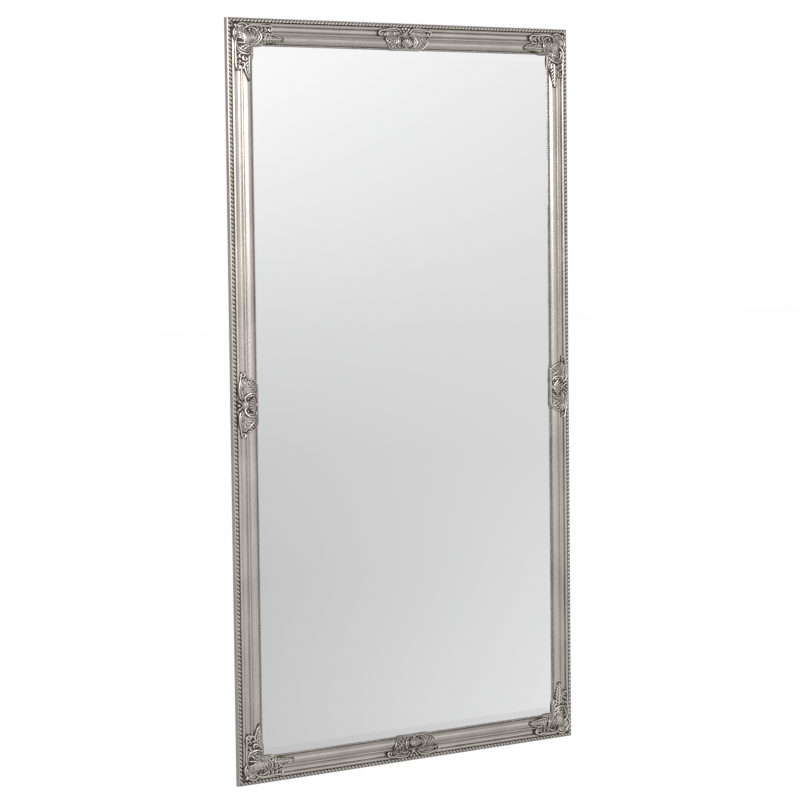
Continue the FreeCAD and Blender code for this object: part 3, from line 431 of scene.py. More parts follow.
def makePlatedMaterial(name):
    # zinc or bright steel: spangles, rubbing marks and a little dullness
    light, dark, rough, spangle = platings[name]
    sheet, spot = newMaterial(name)
    cells = sheet.add("ShaderNodeTexVoronoi", {"Vector": spot, "Scale": spangle}).outputs["Color"]
    tint = sheet.add("ShaderNodeSeparateColor", {"Color": cells}).outputs[0]
    rubs = sheet.noise(sheet.stretch(spot, (300.0, 300.0, 40.0)), 1.0, 4.0)
    dull = sheet.noise(spot, 90.0, 4.0)
    colour = sheet.mix(tint, light, dark)
    colour = sheet.mix(sheet.rise(dull, 0.5, 0.8, 0.0, 0.5), colour, otherTones["dullMetal"])
    rough = sheet.rise(rubs, 0.3, 0.75, rough, rough + 0.18)
    return surfaceOf(sheet, colour, rough, 1.0, rubs, *bumps["metal"])


def makeRubberMaterial():
    # grey moulded rubber with a fine skin and a dusting of pale wall paint
    sheet, spot = newMaterial("bumperRubber")
    skin = sheet.noise(spot, 1800.0, 2.0)
    dust = sheet.noise(spot, 160.0, 4.0)
    colour = sheet.mix(sheet.rise(skin, 0.3, 0.7), *otherTones["rubber"])
    colour = sheet.mix(sheet.rise(dust, 0.55, 0.85, 0.0, 0.35), colour, otherTones["wallDust"])
    rough = sheet.rise(dust, 0.3, 0.8, 0.5, 0.8)
    return surfaceOf(sheet, colour, rough, 0.0, skin, *bumps["rubber"])


materials = {
    "silvered_wood": makeRailMaterial(),
    "silvered_rope": makeSilverMaterial("silveredRope", "rope"),
    "silvered_beads": makeSilverMaterial("silveredBeads", "beads"),
    "silvered_casting": makeSilverMaterial("silveredCasting", "casting"),
    "mirror_glass": makeGlassMaterial(),
    "backing_board": makeBoardMaterial(),
    "cushion_foam": makeFoamMaterial(),
    "glazing_steel": makePlatedMaterial("glazingSteel"),
    "zinc_plate": makePlatedMaterial("zincPlate"),
    "zinc_wire": makePlatedMaterial("zincWire"),
    "zinc_screw": makePlatedMaterial("zincScrew"),
    "bumper_rubber": makeRubberMaterial(),
}
print("finishes made:", len(materials))


def dress(piece, slotName):
    piece.data.materials.clear()
    piece.data.materials.append(materials[slotName])


def standFor(piece, slotName, *cadNodes):
    dress(piece, slotName)
    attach(piece, "mirror")
    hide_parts(*cadNodes)


# Corners of the moulding's section: across from the outer edge, up from the back, the middle of
# the arc that leads there, the grime and painted shade in that corner (darkest in quirks and channels)
# and whether the wood is left bare. A shade band is a broad darker band of painted shade along the rail:
# across, its reach and the darkening that it adds.
moulding = {
    "corners": [
        (0, 0, None, 0.3, 1),
        (0, 1.2, None, 0.35, 0.3),
        (0, 2.4, None, 0.35, 0),
        (0, 9.2, None, 0.2, 0),
        (2.8, 13.3, (0.84, 12.1), 0.35, 0),
        (3.4, 13.3, None, 1, 0),
        (8.1, 13.3, None, 1, 0),
        (9.4, 12.7, None, 1, 0),
        (10.3, 11.5, None, 1, 0),
        (11.1, 14.2, None, 0.5, 0),
        (18.8, 14.2, (15.0, 17.64), 0.4, 0),
        (19.6, 12.2, None, 0.8, 0),
        (21.4, 12.1, None, 0.55, 0),
        (29.9, 12.9, (25.6, 11.8), 0.35, 0),
        (33.2, 18.4, (31.7, 15.3), 0.12, 0),
        (37.4, 19.1, (35.3, 19.9), 0.2, 0),
        (37.99, 18.3, None, 0.8, 0),
        (59.8, 17.2, (48.3, 24.0), 0.1, 0),
        (60.4, 15.5, None, 1, 0),
        (61.6, 15.5, None, 1, 0),
        (63, 15.5, None, 1, 0),
        (65, 15.4, None, 0.6, 0),
        (65, 14, None, 0.5, 0),
        (57, 14, None, 0.5, 1),
        (57, 0, None, 0.3, 1),
    ],
    "arcSteps": 18,
    "openGrime": 0.3,
    "grimeShadeReach": 1.0,
    "shadeBands": [(48.5, 3.2, 0.24), (25.0, 3.0, 0.08), (40.6, 1.2, 0.2)],
    "sinkBack": 0.04,
    "smoothTo": 28,
}


def arcCentre(first, middle, last):
    (ax, ay), (bx, by), (cx, cy) = first, middle, last
    d = 2 * (ax * (by - cy) + bx * (cy - ay) + cx * (ay - by))
    squares = [x * x + y * y for x, y in (first, middle, last)]
    x = (squares[0] * (by - cy) + squares[1] * (cy - ay) + squares[2] * (ay - by)) / d
    y = (squares[0] * (cx - bx) + squares[1] * (ax - cx) + squares[2] * (bx - ax)) / d
    return x, y


def arcThrough(first, middle, last, steps):
    # points after the first, along the arc to the last
    x, y = arcCentre(first, middle, last)
    radius = math.dist((x, y), first)
    angles = [math.atan2(spot[1] - y, spot[0] - x) for spot in (first, middle, last)]
    turns = [(angle - angles[0]) % math.tau for angle in angles]
    sweep = turns[2] if turns[1] < turns[2] else turns[2] - math.tau
    return [
        (
            x + radius * math.cos(angles[0] + sweep * step / steps),
            y + radius * math.sin(angles[0] + sweep * step / steps),
        )
        for step in range(1, steps + 1)
    ]


def grimeAndShadeAt(across, up):
    # each corner's grime and painted shade fade out within its reach to that of the open faces
    gathered = moulding["openGrime"]
    for x, y, _, grimeAndShade, _ in moulding["corners"]:
        near = math.exp(-((math.dist((across, up), (x, y)) / moulding["grimeShadeReach"]) ** 2))
        gathered += near * (grimeAndShade - moulding["openGrime"])
    for place, reach, grimeAndShade in moulding["shadeBands"]:
        gathered += grimeAndShade * math.exp(-(((across - place) / reach) ** 2))
    return min(1, max(0.1, gathered))


def mouldingOutline():
    # the closed section as across, up, grime with painted shade, and bare
    outline = []
    corners = moulding["corners"]
    for index, (across, up, middle, _, bare) in enumerate(corners):
        points = [(across, up)]
        if middle:
            points = arcThrough(corners[index - 1][:2], middle, (across, up), moulding["arcSteps"])
        outline += [(x, y, grimeAndShadeAt(x, y), bare) for x, y in points]
    return outline


section = mouldingOutline()
frontLine = [(x, y) for x, y, _, _ in section[3:-3]]


def mouldingUp(across):
    # height of the moulding's face above the frame's back, at distances from the outer edge
    line = np.array(frontLine)
    order = np.maximum.accumulate(line[:, 0] + np.arange(len(line)) * 1e-6)
    return np.interp(across, order, line[:, 1])


def makeRail(side):
    length, reach, turn, _ = sides[side]
    back = mirrorSize["standOff"]
    spots = [
        (-length / 2 * mm, -(back + max(up, moulding["sinkBack"])) * mm, (reach - across) * mm)
        for across, up, _, _ in section
    ]
    rail = makeOutline(spots)
    paint(rail, "grimeAndShade", [grimeAndShade for _, _, grimeAndShade, _ in section])
    paint(rail, "bare", [bare for _, _, _, bare in section])
    drawOut(rail, (length * mm, 0, 0))
    cutMitres(rail, length, reach)
    layRun(rail)
    turnToSide(rail, turn)
    take(rail)
    bpy.ops.object.shade_smooth_by_angle(angle=math.radians(moulding["smoothTo"]))
    rail.name = rail.data.name = railNodes[side] + ".silvered"
    standFor(rail, "silvered_wood", railNodes[side])


for side in sides:
    makeRail(side)
print("rails and stiles done")


# The rope's strands are long, wide and high by half their size. The grime and painted shade say how dark
# the gaps are, set per side as painted shade: darkest at the bottom, lightest at the left.
rope = {
    "across": 6.0,
    "seat": 13.3,
    "pitch": 9.85,
    "strandLong": 6.2,
    "strandWide": 3.1,
    "strandHigh": 2.4,
    "strandReach": 3.2,
    "depth": 2.0,
    "lean": 50,
    "segments": 14,
    "rings": 9,
    "grimeAndShade": {"top": 0.64, "bottom": 0.86, "left": 0.5, "right": 0.6},
}
# The pearls sit on a thin thread; their sides and the channel under them get painted shade.
pearls = {
    "across": 62.9,
    "seat": 15.5,
    "pitch": 5.2,
    "radius": 2.1,
    "segments": 10,
    "rings": 6,
    "thread": 0.4,
    "threadSides": 8,
    "depth": 2.1,
    "grimeAndShade": 1.1,
}
# On both, grime and painted shade fade upwards by depth, so bases and gaps are dark and tops light, and
# edges are smooth up to an angle.
strips = {"grimeAndShadeBelow": 1.05, "leastGrimeAndShade": 0.12, "smoothTo": 50}


def repeatAlong(piece, pitch, count):
    finishWith(
        piece,
        "ARRAY",
        count=count,
        use_relative_offset=False,
        use_constant_offset=True,
        constant_offset_displace=(pitch * mm, 0, 0),
        use_merge_vertices=False,
    )


def layOnRail(piece, side, strip, name, slotName, deepest):
    # from a strip made on the XY plane to its place on its own side
    length, reach, turn, _ = sides[side]
    spots = places(piece)
    # painted shade and grime: darkest at the base of each strand or pearl, lighter towards its top
    grimeAndShade = deepest * (strips["grimeAndShadeBelow"] - spots[:, 2] / (strip["depth"] * mm))
    paint(piece, "grimeAndShade", np.clip(grimeAndShade, strips["leastGrimeAndShade"], 1))
    up = (mirrorSize["standOff"] + strip["seat"]) * mm
    piece.data.transform(Matrix.Rotation(math.radians(90), 4, "X"))
    piece.data.transform(Matrix.Translation((0, -up, (reach - strip["across"]) * mm)))
    cutMitres(piece, length, reach)
    turnToSide(piece, turn)
    editAll(piece)
    evenNormals()
    doneEditing()
    take(piece)
    bpy.ops.object.shade_smooth_by_angle(angle=math.radians(strips["smoothTo"]))
    piece.name = piece.data.name = name + ".silvered"
    standFor(piece, slotName, name)


def makeRope(side):
    # one strand is modelled, then repeated and mitred
    length, _, _, lean = sides[side]
    count = round(length / rope["pitch"])
    pitch = length / count
    bpy.ops.mesh.primitive_uv_sphere_add(segments=rope["segments"], ring_count=rope["rings"], radius=1)
    strand = bpy.context.object
    strand.scale = (rope["strandLong"] * mm, rope["strandWide"] * mm, rope["strandHigh"] * mm)
    strand.rotation_euler = (0, 0, lean * math.radians(90 - rope["lean"]))
    settle(strand)
    # the strand winds down at both ends, into the gap between its neighbours
    spots = places(strand)
    limit = rope["strandReach"] * mm
    spots[:, 1] = np.clip(spots[:, 1], -limit, limit)
    movePoints(strand, spots)
    # the row runs past both mitres, which cut it
    strand.location.x = -length / 2 * mm - pitch * mm
    settle(strand)
    cutAway(strand, (0, 0, 0), (0, 0, -1))
    repeatAlong(strand, pitch, count + 3)
    layOnRail(strand, side, rope, f"rope_{side}", "silvered_rope", rope["grimeAndShade"][side])


def makePearls(side):
    # half round pearls on a thread, the last ones halved by the mitres
    run = sides[side][0] - 2 * pearls["across"]
    count = round(run / pearls["pitch"])
    pitch = run / count
    bpy.ops.mesh.primitive_uv_sphere_add(
        segments=pearls["segments"], ring_count=pearls["rings"], radius=pearls["radius"] * mm
    )
    pearl = bpy.context.object
    pearl.location.x = -run / 2 * mm
    settle(pearl)
    cutAway(pearl, (0, 0, 0), (0, 0, -1))
    repeatAlong(pearl, pitch, count + 1)
    bpy.ops.mesh.primitive_cylinder_add(
        vertices=pearls["threadSides"],
        radius=pearls["thread"] * mm,
        depth=run * mm,
        rotation=(0, math.pi / 2, 0),
    )
    thread = bpy.context.object
    settle(thread)
    cutAway(thread, (0, 0, 0), (0, 0, -1))
    row = joinAs([pearl, thread], f"beads_{side}_row")
    layOnRail(row, side, pearls, f"beads_{side}", "silvered_beads", pearls["grimeAndShade"])


for side in sides:
    makeRope(side)
    makePearls(side)
print("rope and pearls done")


# An ornament is modelled flat, with X along its rail, Y outwards and Z towards the viewer, and is
# then laid over the moulding. A point of a line is along, across and radius, in millimetres.
# The ground is the surface that the relief stands on: across and up, softened over a few mm.
ground = {
    "corners": [(9.0, 17.2), (11, 18.0), (19.5, 18.0), (24, 15.6), (30.5, 15.6), (33, 20.9), (37, 23.1),
                (42, 24.9), (46.2, 25.3), (50, 24.8), (55, 22.6), (59, 20.1), (64, 19.4)],
    "span": (-40, 120),
    "grid": 0.25,
    "soften": 1.6,
    "relief": 1.2,
    "sunk": 2.0,
    "bed": 0.4,
    "highest": 30.6,
    "voxel": 0.56,
    "plateGrimeAndShade": 0.84,
    "sightEase": 0.36,
    "rubbedAbove": 3.2,
    "rubbedShare": 0.1,
    "shadeSeam": 1.35,
    "shadeSeamUp": -0.4,
    "shadeSeamWithin": 64,
    "hatchUp": 0.15,
    "openGrime": 0.52,
    "hollowGrimeAndShade": 1.3,
    "hollowRounds": 24,
    "lowBelow": 2.5,
    "lowFade": 1.2,
    "sightFrom": 60,
    "sightFade": 3,
    "leastGrimeAndShade": 0.02,
    "bedRange": (9.4, 64),
    "mitreWidth": 8,
    "mitreDip": 2,
    "lineLift": 0.5,
    "domeSunk": 0.1,
    "domeRise": 0.75,
    "ringLift": 0.4,
    "arcSteps": 8,
    "evening": 0.7,
}


def groundUp(across):
    line = np.array(ground["corners"])
    wide = np.arange(*ground["span"], ground["grid"])
    heights = np.interp(wide, line[:, 0], line[:, 1])
    reach = int(3 * ground["soften"] / ground["grid"])
    steps = np.arange(-reach, reach + 1) * ground["grid"]
    weights = np.exp(-((steps / ground["soften"]) ** 2) / 2)
    smooth = np.convolve(np.pad(heights, reach, mode="edge"), weights / weights.sum(), mode="valid")
    return np.interp(across, wide, smooth)


def drawLines(lines):
    # round lines that swell and taper; each is sunk into the plate and rises with its radius
    drawing = bpy.data.curves.new("lines", "CURVE")
    drawing.dimensions = "3D"
    drawing.bevel_depth = mm
    drawing.bevel_resolution = 2
    drawing.resolution_u = 5
    drawing.use_fill_caps = True
    for line in lines:
        spline = drawing.splines.new("BEZIER")
        spline.bezier_points.add(len(line) - 1)
        for point, (along, across, radius, *up) in zip(spline.bezier_points, line):
            high = up[0] if up else ground["relief"] + ground["lineLift"] * radius
            point.co = (along * mm, -across * mm, high * mm)
            point.radius = radius
            point.handle_left_type = point.handle_right_type = "AUTO"
    holder = bpy.data.objects.new("lines", drawing)
    bpy.context.scene.collection.objects.link(holder)
    take(holder)
    bpy.ops.object.convert(target="MESH")
    return bpy.context.object


def addDome(along, across, radius, wide=None, turn=0, rise=None):
    # a bead or lobe sunk a little into the plate
    wide, rise = wide or radius, rise or ground["domeRise"] * radius
    bpy.ops.mesh.primitive_uv_sphere_add(
        segments=20,
        ring_count=12,
        radius=mm,
        location=(along * mm, -across * mm, (ground["relief"] - ground["domeSunk"]) * mm),
        rotation=(0, 0, -math.radians(turn)),
        scale=(radius, wide, rise),
    )
    return bpy.context.object


def addRing(along, across, radius, wire):
    bpy.ops.mesh.primitive_torus_add(
        major_segments=36,
        minor_segments=10,
        major_radius=radius * mm,
        minor_radius=wire * mm,
        location=(along * mm, -across * mm, (ground["relief"] + ground["ringLift"] * wire) * mm),
    )
    return bpy.context.object


def plateOutline(outline):
    points = []
    for index, (corner, middle) in enumerate(outline):
        if middle:
            points += arcThrough(outline[index - 1][0], middle, corner, ground["arcSteps"])
        else:
            points.append(corner)
    return points


def shadeSeamLine(points):
    # painted shadow and grime in the seam along the casting's outline, as a low line that later turns
    # dark
    width, up = ground["shadeSeam"], ground["shadeSeamUp"]
    return [(along, across, width, up) for along, across in points if across < ground["shadeSeamWithin"]]


def addPlate(points):
    # the casting's flat ground, cut to its outline
    plate = makeOutline([(x * mm, -y * mm, -ground["sunk"] * mm) for x, y in points])
    drawOut(plate, (0, 0, (ground["sunk"] + ground["relief"]) * mm))
    return plate


# A lobe of a leaf, point by point: shares of the step forwards, of its spread and of its thickness.
lobe = [(0.35, 0.5, 1.0), (0.85, 0.95, 0.95), (1.25, 0.9, 0.4)]
lobeRoot = (0.8, 0.6)


def leafLobes(start, spine, step, count, spread, first, last):
    # pairs of lobes that curl out from a leaf's spine and forwards, smaller towards its tip
    lines = []
    for index in range(count):
        gone = index / max(1, count - 1)
        wide = spread[0] + gone * (spread[1] - spread[0])
        fat = first + gone * (last - first)
        base = start + index * step
        for way in (-1, 1):
            points = [(base, spine + way * lobeRoot[0], lobeRoot[1] * fat)]
            for ahead, out, share in lobe:
                points.append((base + ahead * step, spine + way * out * wide, share * fat))
            lines.append(points)
    return lines


def fanLines(centre, angles, near, far, thin, thick):
    # rays that swell outwards, a little past the mean at their middle
    lines = []
    stops = ((near, thin), ((near + far) / 2, (thin + thick) / 1.9), (far, thick))
    for angle in angles:
        x, y = math.cos(math.radians(angle)), math.sin(math.radians(angle))
        lines.append([(centre[0] + reach * x, centre[1] + reach * y, radius) for reach, radius in stops])
    return lines


def hatchLines(low, high, spacing, radius):
    # crossing fine lines over a box between two corners
    lines = []
    wide, tall = high[0] - low[0], high[1] - low[1]
    up = ground["relief"] + ground["hatchUp"]
    for way in (1, -1):
        offset = -tall
        while offset < wide:
            start, end = max(0, offset), min(wide, offset + tall)
            if end - start > 2 * spacing:
                ends = [(x, x - offset if way > 0 else tall - (x - offset)) for x in (start, end)]
                lines.append([(low[0] + x, low[1] + y, radius, up) for x, y in ends])
            offset += spacing
    return lines


# A casting is one half, which is then mirrored. A plate has corners, each with the middle of the arc
# that leads there. A dome is along, across and radius, then maybe width, turn and rise. A row of
# beads is its first and last place, their number and radius. The rest is as its function takes it.
cornerCasting = {
    "plate": [
        ((12.5, 12.5), None), ((21, 12.6), None), ((48.5, 13.4), (35, 10)), ((54, 15.4), None),
        ((104, 15.2), None), ((122, 23.5), (117, 17)), ((112, 31.4), (119.5, 29.8)), ((105, 34), None),
        ((118, 38), (112.4, 35.2)), ((141, 45), (130, 40.4)), ((139, 53.6), (146.6, 49.6)),
        ((110, 59.5), (124, 57)), ((94, 63.8), (100, 61)), ((62, 63.8), None), ((50, 75), None),
        ((0, 25), None),
    ],
    "lines": [
        # rod, from its curl beside the boss to the volute at its end
        [(43.6, 33.4, 0.9), (40.4, 29.6, 1.4), (43, 25.4, 1.7), (48.4, 22.4, 1.9), (54, 19.2, 2.1),
         (60, 17.6, 2.2), (70, 17.2, 2.1), (85, 18, 2.0), (98, 18.8, 2.1), (109, 18.2, 2.2),
         (116.6, 20.2, 2.3), (119, 25, 2.3), (116.4, 29.6, 2.1), (111.8, 29.4, 1.8), (110.2, 26, 1.6),
         (112.6, 23.4, 1.4)],
        # hook from the volute in to the leaf
        [(118.4, 28.8, 1.1), (118.2, 33.4, 1.5), (114, 37.6, 1.8), (108.4, 38.4, 1.8),
         (104.6, 35.8, 1.4), (106.2, 32.8, 1.2)],
        # large C and the thinner line inside it
        [(56, 23, 1.0), (64, 22.6, 1.7), (73, 25.4, 2.1), (80, 31.4, 2.3), (84, 39.4, 2.4),
         (84, 47.4, 2.3), (80.4, 55, 2.1), (74, 60.6, 1.5)],
        [(66, 27.6, 0.7), (72, 31.2, 1.0), (76.8, 37, 1.1), (78.4, 43.6, 1.2), (77, 50, 1.1),
         (72.6, 55.6, 0.9)],
        # spine of the leaf and the edge above it
        [(88, 51, 1.8), (98, 50.6, 2.2), (112, 50, 2.0), (128, 50, 1.6), (140, 50.2, 1.0),
         (144, 50.2, 0.5)],
        [(112, 38.6, 0.9), (119, 39.4, 1.5), (127, 41.6, 1.6), (135, 44.8, 1.5), (142, 49.4, 1.1)],
        # curls between the rod and the leaf
        [(76, 20.4, 0.9), (80.6, 22.8, 1.3), (81.6, 27, 1.2), (78.6, 29, 0.9)],
        [(86, 20.8, 1.0), (91.6, 23, 1.5), (92.8, 27.6, 1.4), (89.4, 30.2, 1.1), (86.8, 27.8, 0.9)],
        [(97, 21.4, 1.0), (102.4, 23.4, 1.4), (104.4, 27.6, 1.3), (101.4, 30.8, 1.1),
         (98.6, 28.8, 0.8)],
        [(88, 37, 1.2), (93.6, 34.8, 1.6), (98.8, 37.2, 1.6), (98.6, 42, 1.4), (94, 43, 1.1),
         (92.2, 39.8, 0.8)],
        [(103, 43.6, 0.9), (107.6, 41.6, 1.3), (110.8, 44.4, 1.2), (107.8, 46.4, 0.8)],
        # crest: a wave along each arm and the curl under it
        [(22.8, 20.6, 1.2), (26.4, 16.4, 1.8), (32.4, 13.6, 2.0), (39.6, 13.2, 2.0), (46, 15.4, 1.9),
         (50.4, 18.8, 1.4)],
        [(31, 27.4, 1.0), (30.4, 22.6, 1.6), (34.4, 19.2, 1.6), (39.6, 20.6, 1.3), (40.6, 24.6, 0.9)],
        # slanting strokes inside the large C
        [(60.6, 47, 0.9), (64, 40.4, 1.6), (69.6, 34.4, 1.0)],
        [(66.4, 50.6, 0.9), (69.8, 44, 1.6), (74.6, 37.6, 1.0)],
        # scrolls beside the boss towards the sight corner
        [(59.4, 43.4, 1.0), (56.4, 39.6, 1.5), (51.6, 39.6, 1.5), (50, 42.6, 1.0)],
        [(69, 57, 1.1), (64.8, 60.6, 1.5), (62.6, 60.8, 1.2)],
        [(88, 58.5, 1.1), (83.6, 61.4, 1.5), (79, 59.4, 1.2)],
        [(99.5, 59.6, 0.8), (94, 57.6, 1.5), (88.6, 56.4, 1.6), (86.4, 53, 1.1)],
    ],
    "domes": [
        (46, 46, 16, 12.5, 45, 2.2), (37, 37, 14, 11, 45, 1.4), (34, 34, 2.6), (45, 26.8, 2.3),
        (57.6, 23.4, 2.0), (101, 25.6, 1.7), (114.4, 25.8, 1.9), (19.6, 19.6, 5.6, 3.4, 45, 3.2),
        (28.6, 28.6, 3.4, 2.2, 45, 2.4), (24.4, 26.4, 1.3), (36.4, 16.6, 1.3),
        (34, 22, 9, 6.5, -15, 1.8), (70, 42, 10, 12, 0, 0.9), (89.6, 26.2, 1.3),
        (68.6, 33.6, 4.4, 1.6, -50, 2.2), (44.6, 31, 3.6, 1.4, -55, 2.4),
        (70.4, 41.6, 4.4, 1.5, -55, 2.0), (84.6, 31.6, 4.2, 1.4, -60, 2.2),
        (66.4, 49.6, 4.4, 3.2, 45, 2.6), (34.4, 20.8, 1.4), (106.8, 29, 1.5), (26.6, 29.6, 2.1),
        (95.6, 39.2, 1.6), (137.6, 46.6, 1.3), (131.4, 45.4, 1.4), (136.8, 53.4, 1.3), (130.6, 55, 1.4),
        (143, 50.2, 1.8), (72.6, 60.4, 1.9), (90, 61, 1.7), (60.6, 60.6, 2.6), (118, 44.4, 1.5),
        (124.4, 45, 1.3), (98, 46, 1.5), (104, 47.4, 1.2), (59, 51.6, 1.8), (63, 55.4, 1.6),
        (92.4, 31.8, 1.2),
    ],
    "rings": [(66.4, 49.6, 5.6, 1.2)],
    "leaf": ((92, 50.4, 7.6, 6, (7.6, 3.4), 1.9, 1.2),),
    "fan": ((59, 59), (-135, -113, -92), 9, 33, 0.8, 1.6),
    "hatch": ((60, 36), (78, 60), 2.8, 0.5),
    "rows": [
        ((64, 62.4), (92, 62.4), 9, 1.35), ((62, 15.9), (100, 15.9), 14, 0.8),
        ((104, 55.6), (126, 54.4), 9, 1.1),
    ],
}

middleCasting = {
    "plate": [
        ((-3, 9.8), None), ((3.5, 9.8), None), ((9, 12.6), (7, 10.6)), ((17, 13.4), None),
        ((60, 15.4), (38, 11.4)), ((77, 24), (72.6, 17.6)), ((66.4, 32), (74, 30.8)), ((62, 34), None),
        ((47.6, 62.6), (58.8, 50)), ((44, 63.8), None), ((-3, 63.8), None),
    ],
    "lines": [
        # rod and the volute at its end
        [(13.6, 20.4, 1.2), (18, 16.4, 1.9), (26, 14, 2.2), (36, 13.2, 2.2), (47, 14.4, 2.2),
         (57, 16.8, 2.1), (66, 18.2, 2.2), (73, 19.6, 2.3), (76.2, 24.4, 2.2), (73, 29.4, 2.1),
         (68, 28.8, 1.8), (66.4, 25, 1.6), (69, 22.8, 1.2)],
        [(24, 18.8, 1.0), (33, 17.6, 1.6), (45, 18.4, 1.6), (56, 21.2, 1.2)],
        # stem of the crest, forked
        [(1, 30, 1.2), (2.2, 24, 1.6), (5.6, 19.6, 1.4), (8, 19, 1.0)],
        # scroll beside the shell
        [(7, 32, 1.1), (13.4, 29.6, 1.7), (20.4, 31.6, 2.0), (26, 37.6, 2.2), (28, 45.4, 2.2),
         (26.2, 53.4, 1.9), (21, 58.6, 1.5), (15.4, 59.4, 1.1)],
        [(20.2, 38.6, 0.8), (22.6, 44.4, 1.1), (21.6, 50.6, 1.0), (18.6, 54.4, 0.8)],
        # rim of the panel, narrower towards the sight edge
        [(61.6, 34.6, 0.9), (61, 40, 1.4), (58.6, 47.6, 1.6), (54.2, 55.6, 1.5), (47.8, 61.6, 1.1)],
        # curls below the rod
        [(19.6, 27, 1.0), (24.6, 23.4, 1.6), (30.4, 24.2, 1.6), (32.4, 28, 1.1), (29, 30.4, 0.9)],
        [(37, 27.6, 0.9), (42, 22.8, 1.5), (48.2, 23.4, 1.6), (51.6, 27.6, 1.3), (49, 31, 0.9)],
        [(55, 23.6, 0.9), (60, 25.4, 1.3), (61, 30, 1.2), (57, 32, 0.9)],
        # leaf of the panel: its spine, the lobes above it and those towards the rim
        [(31, 60, 0.9), (35.6, 52.8, 1.4), (42.4, 45.4, 1.6), (50.4, 39, 1.4), (57.4, 35.4, 0.8)],
        [(36, 52.6, 0.8), (32.8, 47.6, 1.5), (32.8, 42, 1.0)],
        [(41, 47, 0.8), (38, 41.8, 1.7), (38.6, 35.6, 1.1)],
        [(46.4, 42, 0.8), (44.4, 37.2, 1.5), (45.6, 32.6, 0.9)],
        [(35.4, 54, 0.8), (39.6, 57, 1.5), (41.6, 60.8, 1.0)],
        [(40.4, 48.4, 0.8), (45.4, 51.4, 1.7), (47, 56.8, 1.1)],
        [(46, 43.4, 0.8), (51, 45.6, 1.6), (53, 50.8, 1.0)],
        [(51.6, 39.2, 0.7), (55.8, 40.8, 1.4), (57.4, 45, 0.9)],
    ],
    "domes": [
        (0, 46, 13, 13, 0, 1.1), (0, 30, 9, 7, 0, 1.3), (26, 25, 12, 5, 0, 1.5),
        (50, 26, 10, 6, 0, 1.5), (0, 13.2, 2.8, 4.0, 0, 3.0), (8.8, 14.6, 4.6, 2.3, -48, 3.0),
        (13.2, 21.6, 3.4, 1.7, -40, 2.4), (0, 25.4, 1.6, 3.2, 0, 2.4), (0, 60, 3.4, 2.4, 0, 2.6),
        (7.2, 25.6, 1.5), (70.6, 25.4, 1.6), (24.6, 27.4, 1.3), (44, 27.4, 1.4), (33.6, 38.6, 1.3),
        (35, 31.8, 1.4), (51, 34.4, 1.3), (44.4, 59.6, 1.4), (50, 55, 1.4), (56, 48.8, 1.2),
        (14.6, 35.4, 1.4), (18.2, 34.6, 1.1), (11.4, 57, 1.6), (30, 35.4, 1.5), (56.4, 28.4, 1.1),
        (37.6, 48.6, 1.2), (27.4, 60.8, 1.4), (33.4, 57.6, 1.0), (48, 47.8, 1.0), (41.4, 40.6, 1.0),
    ],
    "rings": [],
    "leaf": (),
    "fan": ((0, 60), (-90, -72, -54, -36), 4, 22, 1.0, 2.2),
    "hatch": ((20, 20), (56, 60), 3.0, 0.6),
    "rows": [((3, 62.4), (43, 62.4), 13, 1.2)],
}


def beadRow(first, last, count, radius):
    return [
        (
            first[0] + (last[0] - first[0]) * index / (count - 1),
            first[1] + (last[1] - first[1]) * index / (count - 1),
            radius,
        )
        for index in range(count)
    ]


def addForms(casting):
    # every form of one half of a casting, joined but not yet one skin
    lines = list(casting["lines"])
    for leaf in casting["leaf"]:
        lines += leafLobes(*leaf)
    lines += fanLines(*casting["fan"])
    lines += hatchLines(*casting["hatch"])
    domes = list(casting["domes"])
    for row in casting["rows"]:
        domes += beadRow(*row)
    outline = plateOutline(casting["plate"])
    lines.append(shadeSeamLine(outline))
    pieces = [addPlate(outline), drawLines(lines)]
    pieces += [addDome(*dome) for dome in domes]
    pieces += [addRing(*ring) for ring in casting["rings"]]
    return joinAs(pieces, "castingForms")


def skinForms(forms, mirrorTurn):
    # mirrors the half, makes one skin over all the forms and rounds it a little
    bpy.ops.object.empty_add(location=(0, 0, 0), rotation=(0, 0, math.radians(mirrorTurn)))
    plane = bpy.context.object
    finishWith(
        forms,
        "MIRROR",
        mirror_object=plane,
        use_axis=(False, True, False),
        use_bisect_axis=(False, True, False),
        use_bisect_flip_axis=(False, mirrorTurn > 0, False),
        use_mirror_merge=True,
        merge_threshold=1e-5,
    )
    bpy.data.objects.remove(plane)
    finishWith(forms, "REMESH", mode="VOXEL", voxel_size=ground["voxel"] * mm, use_smooth_shade=True)
    finishWith(forms, "SMOOTH", factor=0.5, iterations=2)


def smoothHeights(piece, rounds):
    # each point's height averaged with its neighbours' again and again
    edges = np.empty(len(piece.data.edges) * 2, np.int32)
    piece.data.edges.foreach_get("vertices", edges)
    first, second = edges.reshape(-1, 2).T
    heights = places(piece)[:, 2].astype(float)
    near = np.bincount(first, minlength=len(heights)) + np.bincount(second, minlength=len(heights))
    share = ground["evening"]
    for _ in range(rounds):
        total = np.bincount(first, heights[second], len(heights))
        total += np.bincount(second, heights[first], len(heights))
        heights = (1 - share) * heights + share * total / near
    return heights


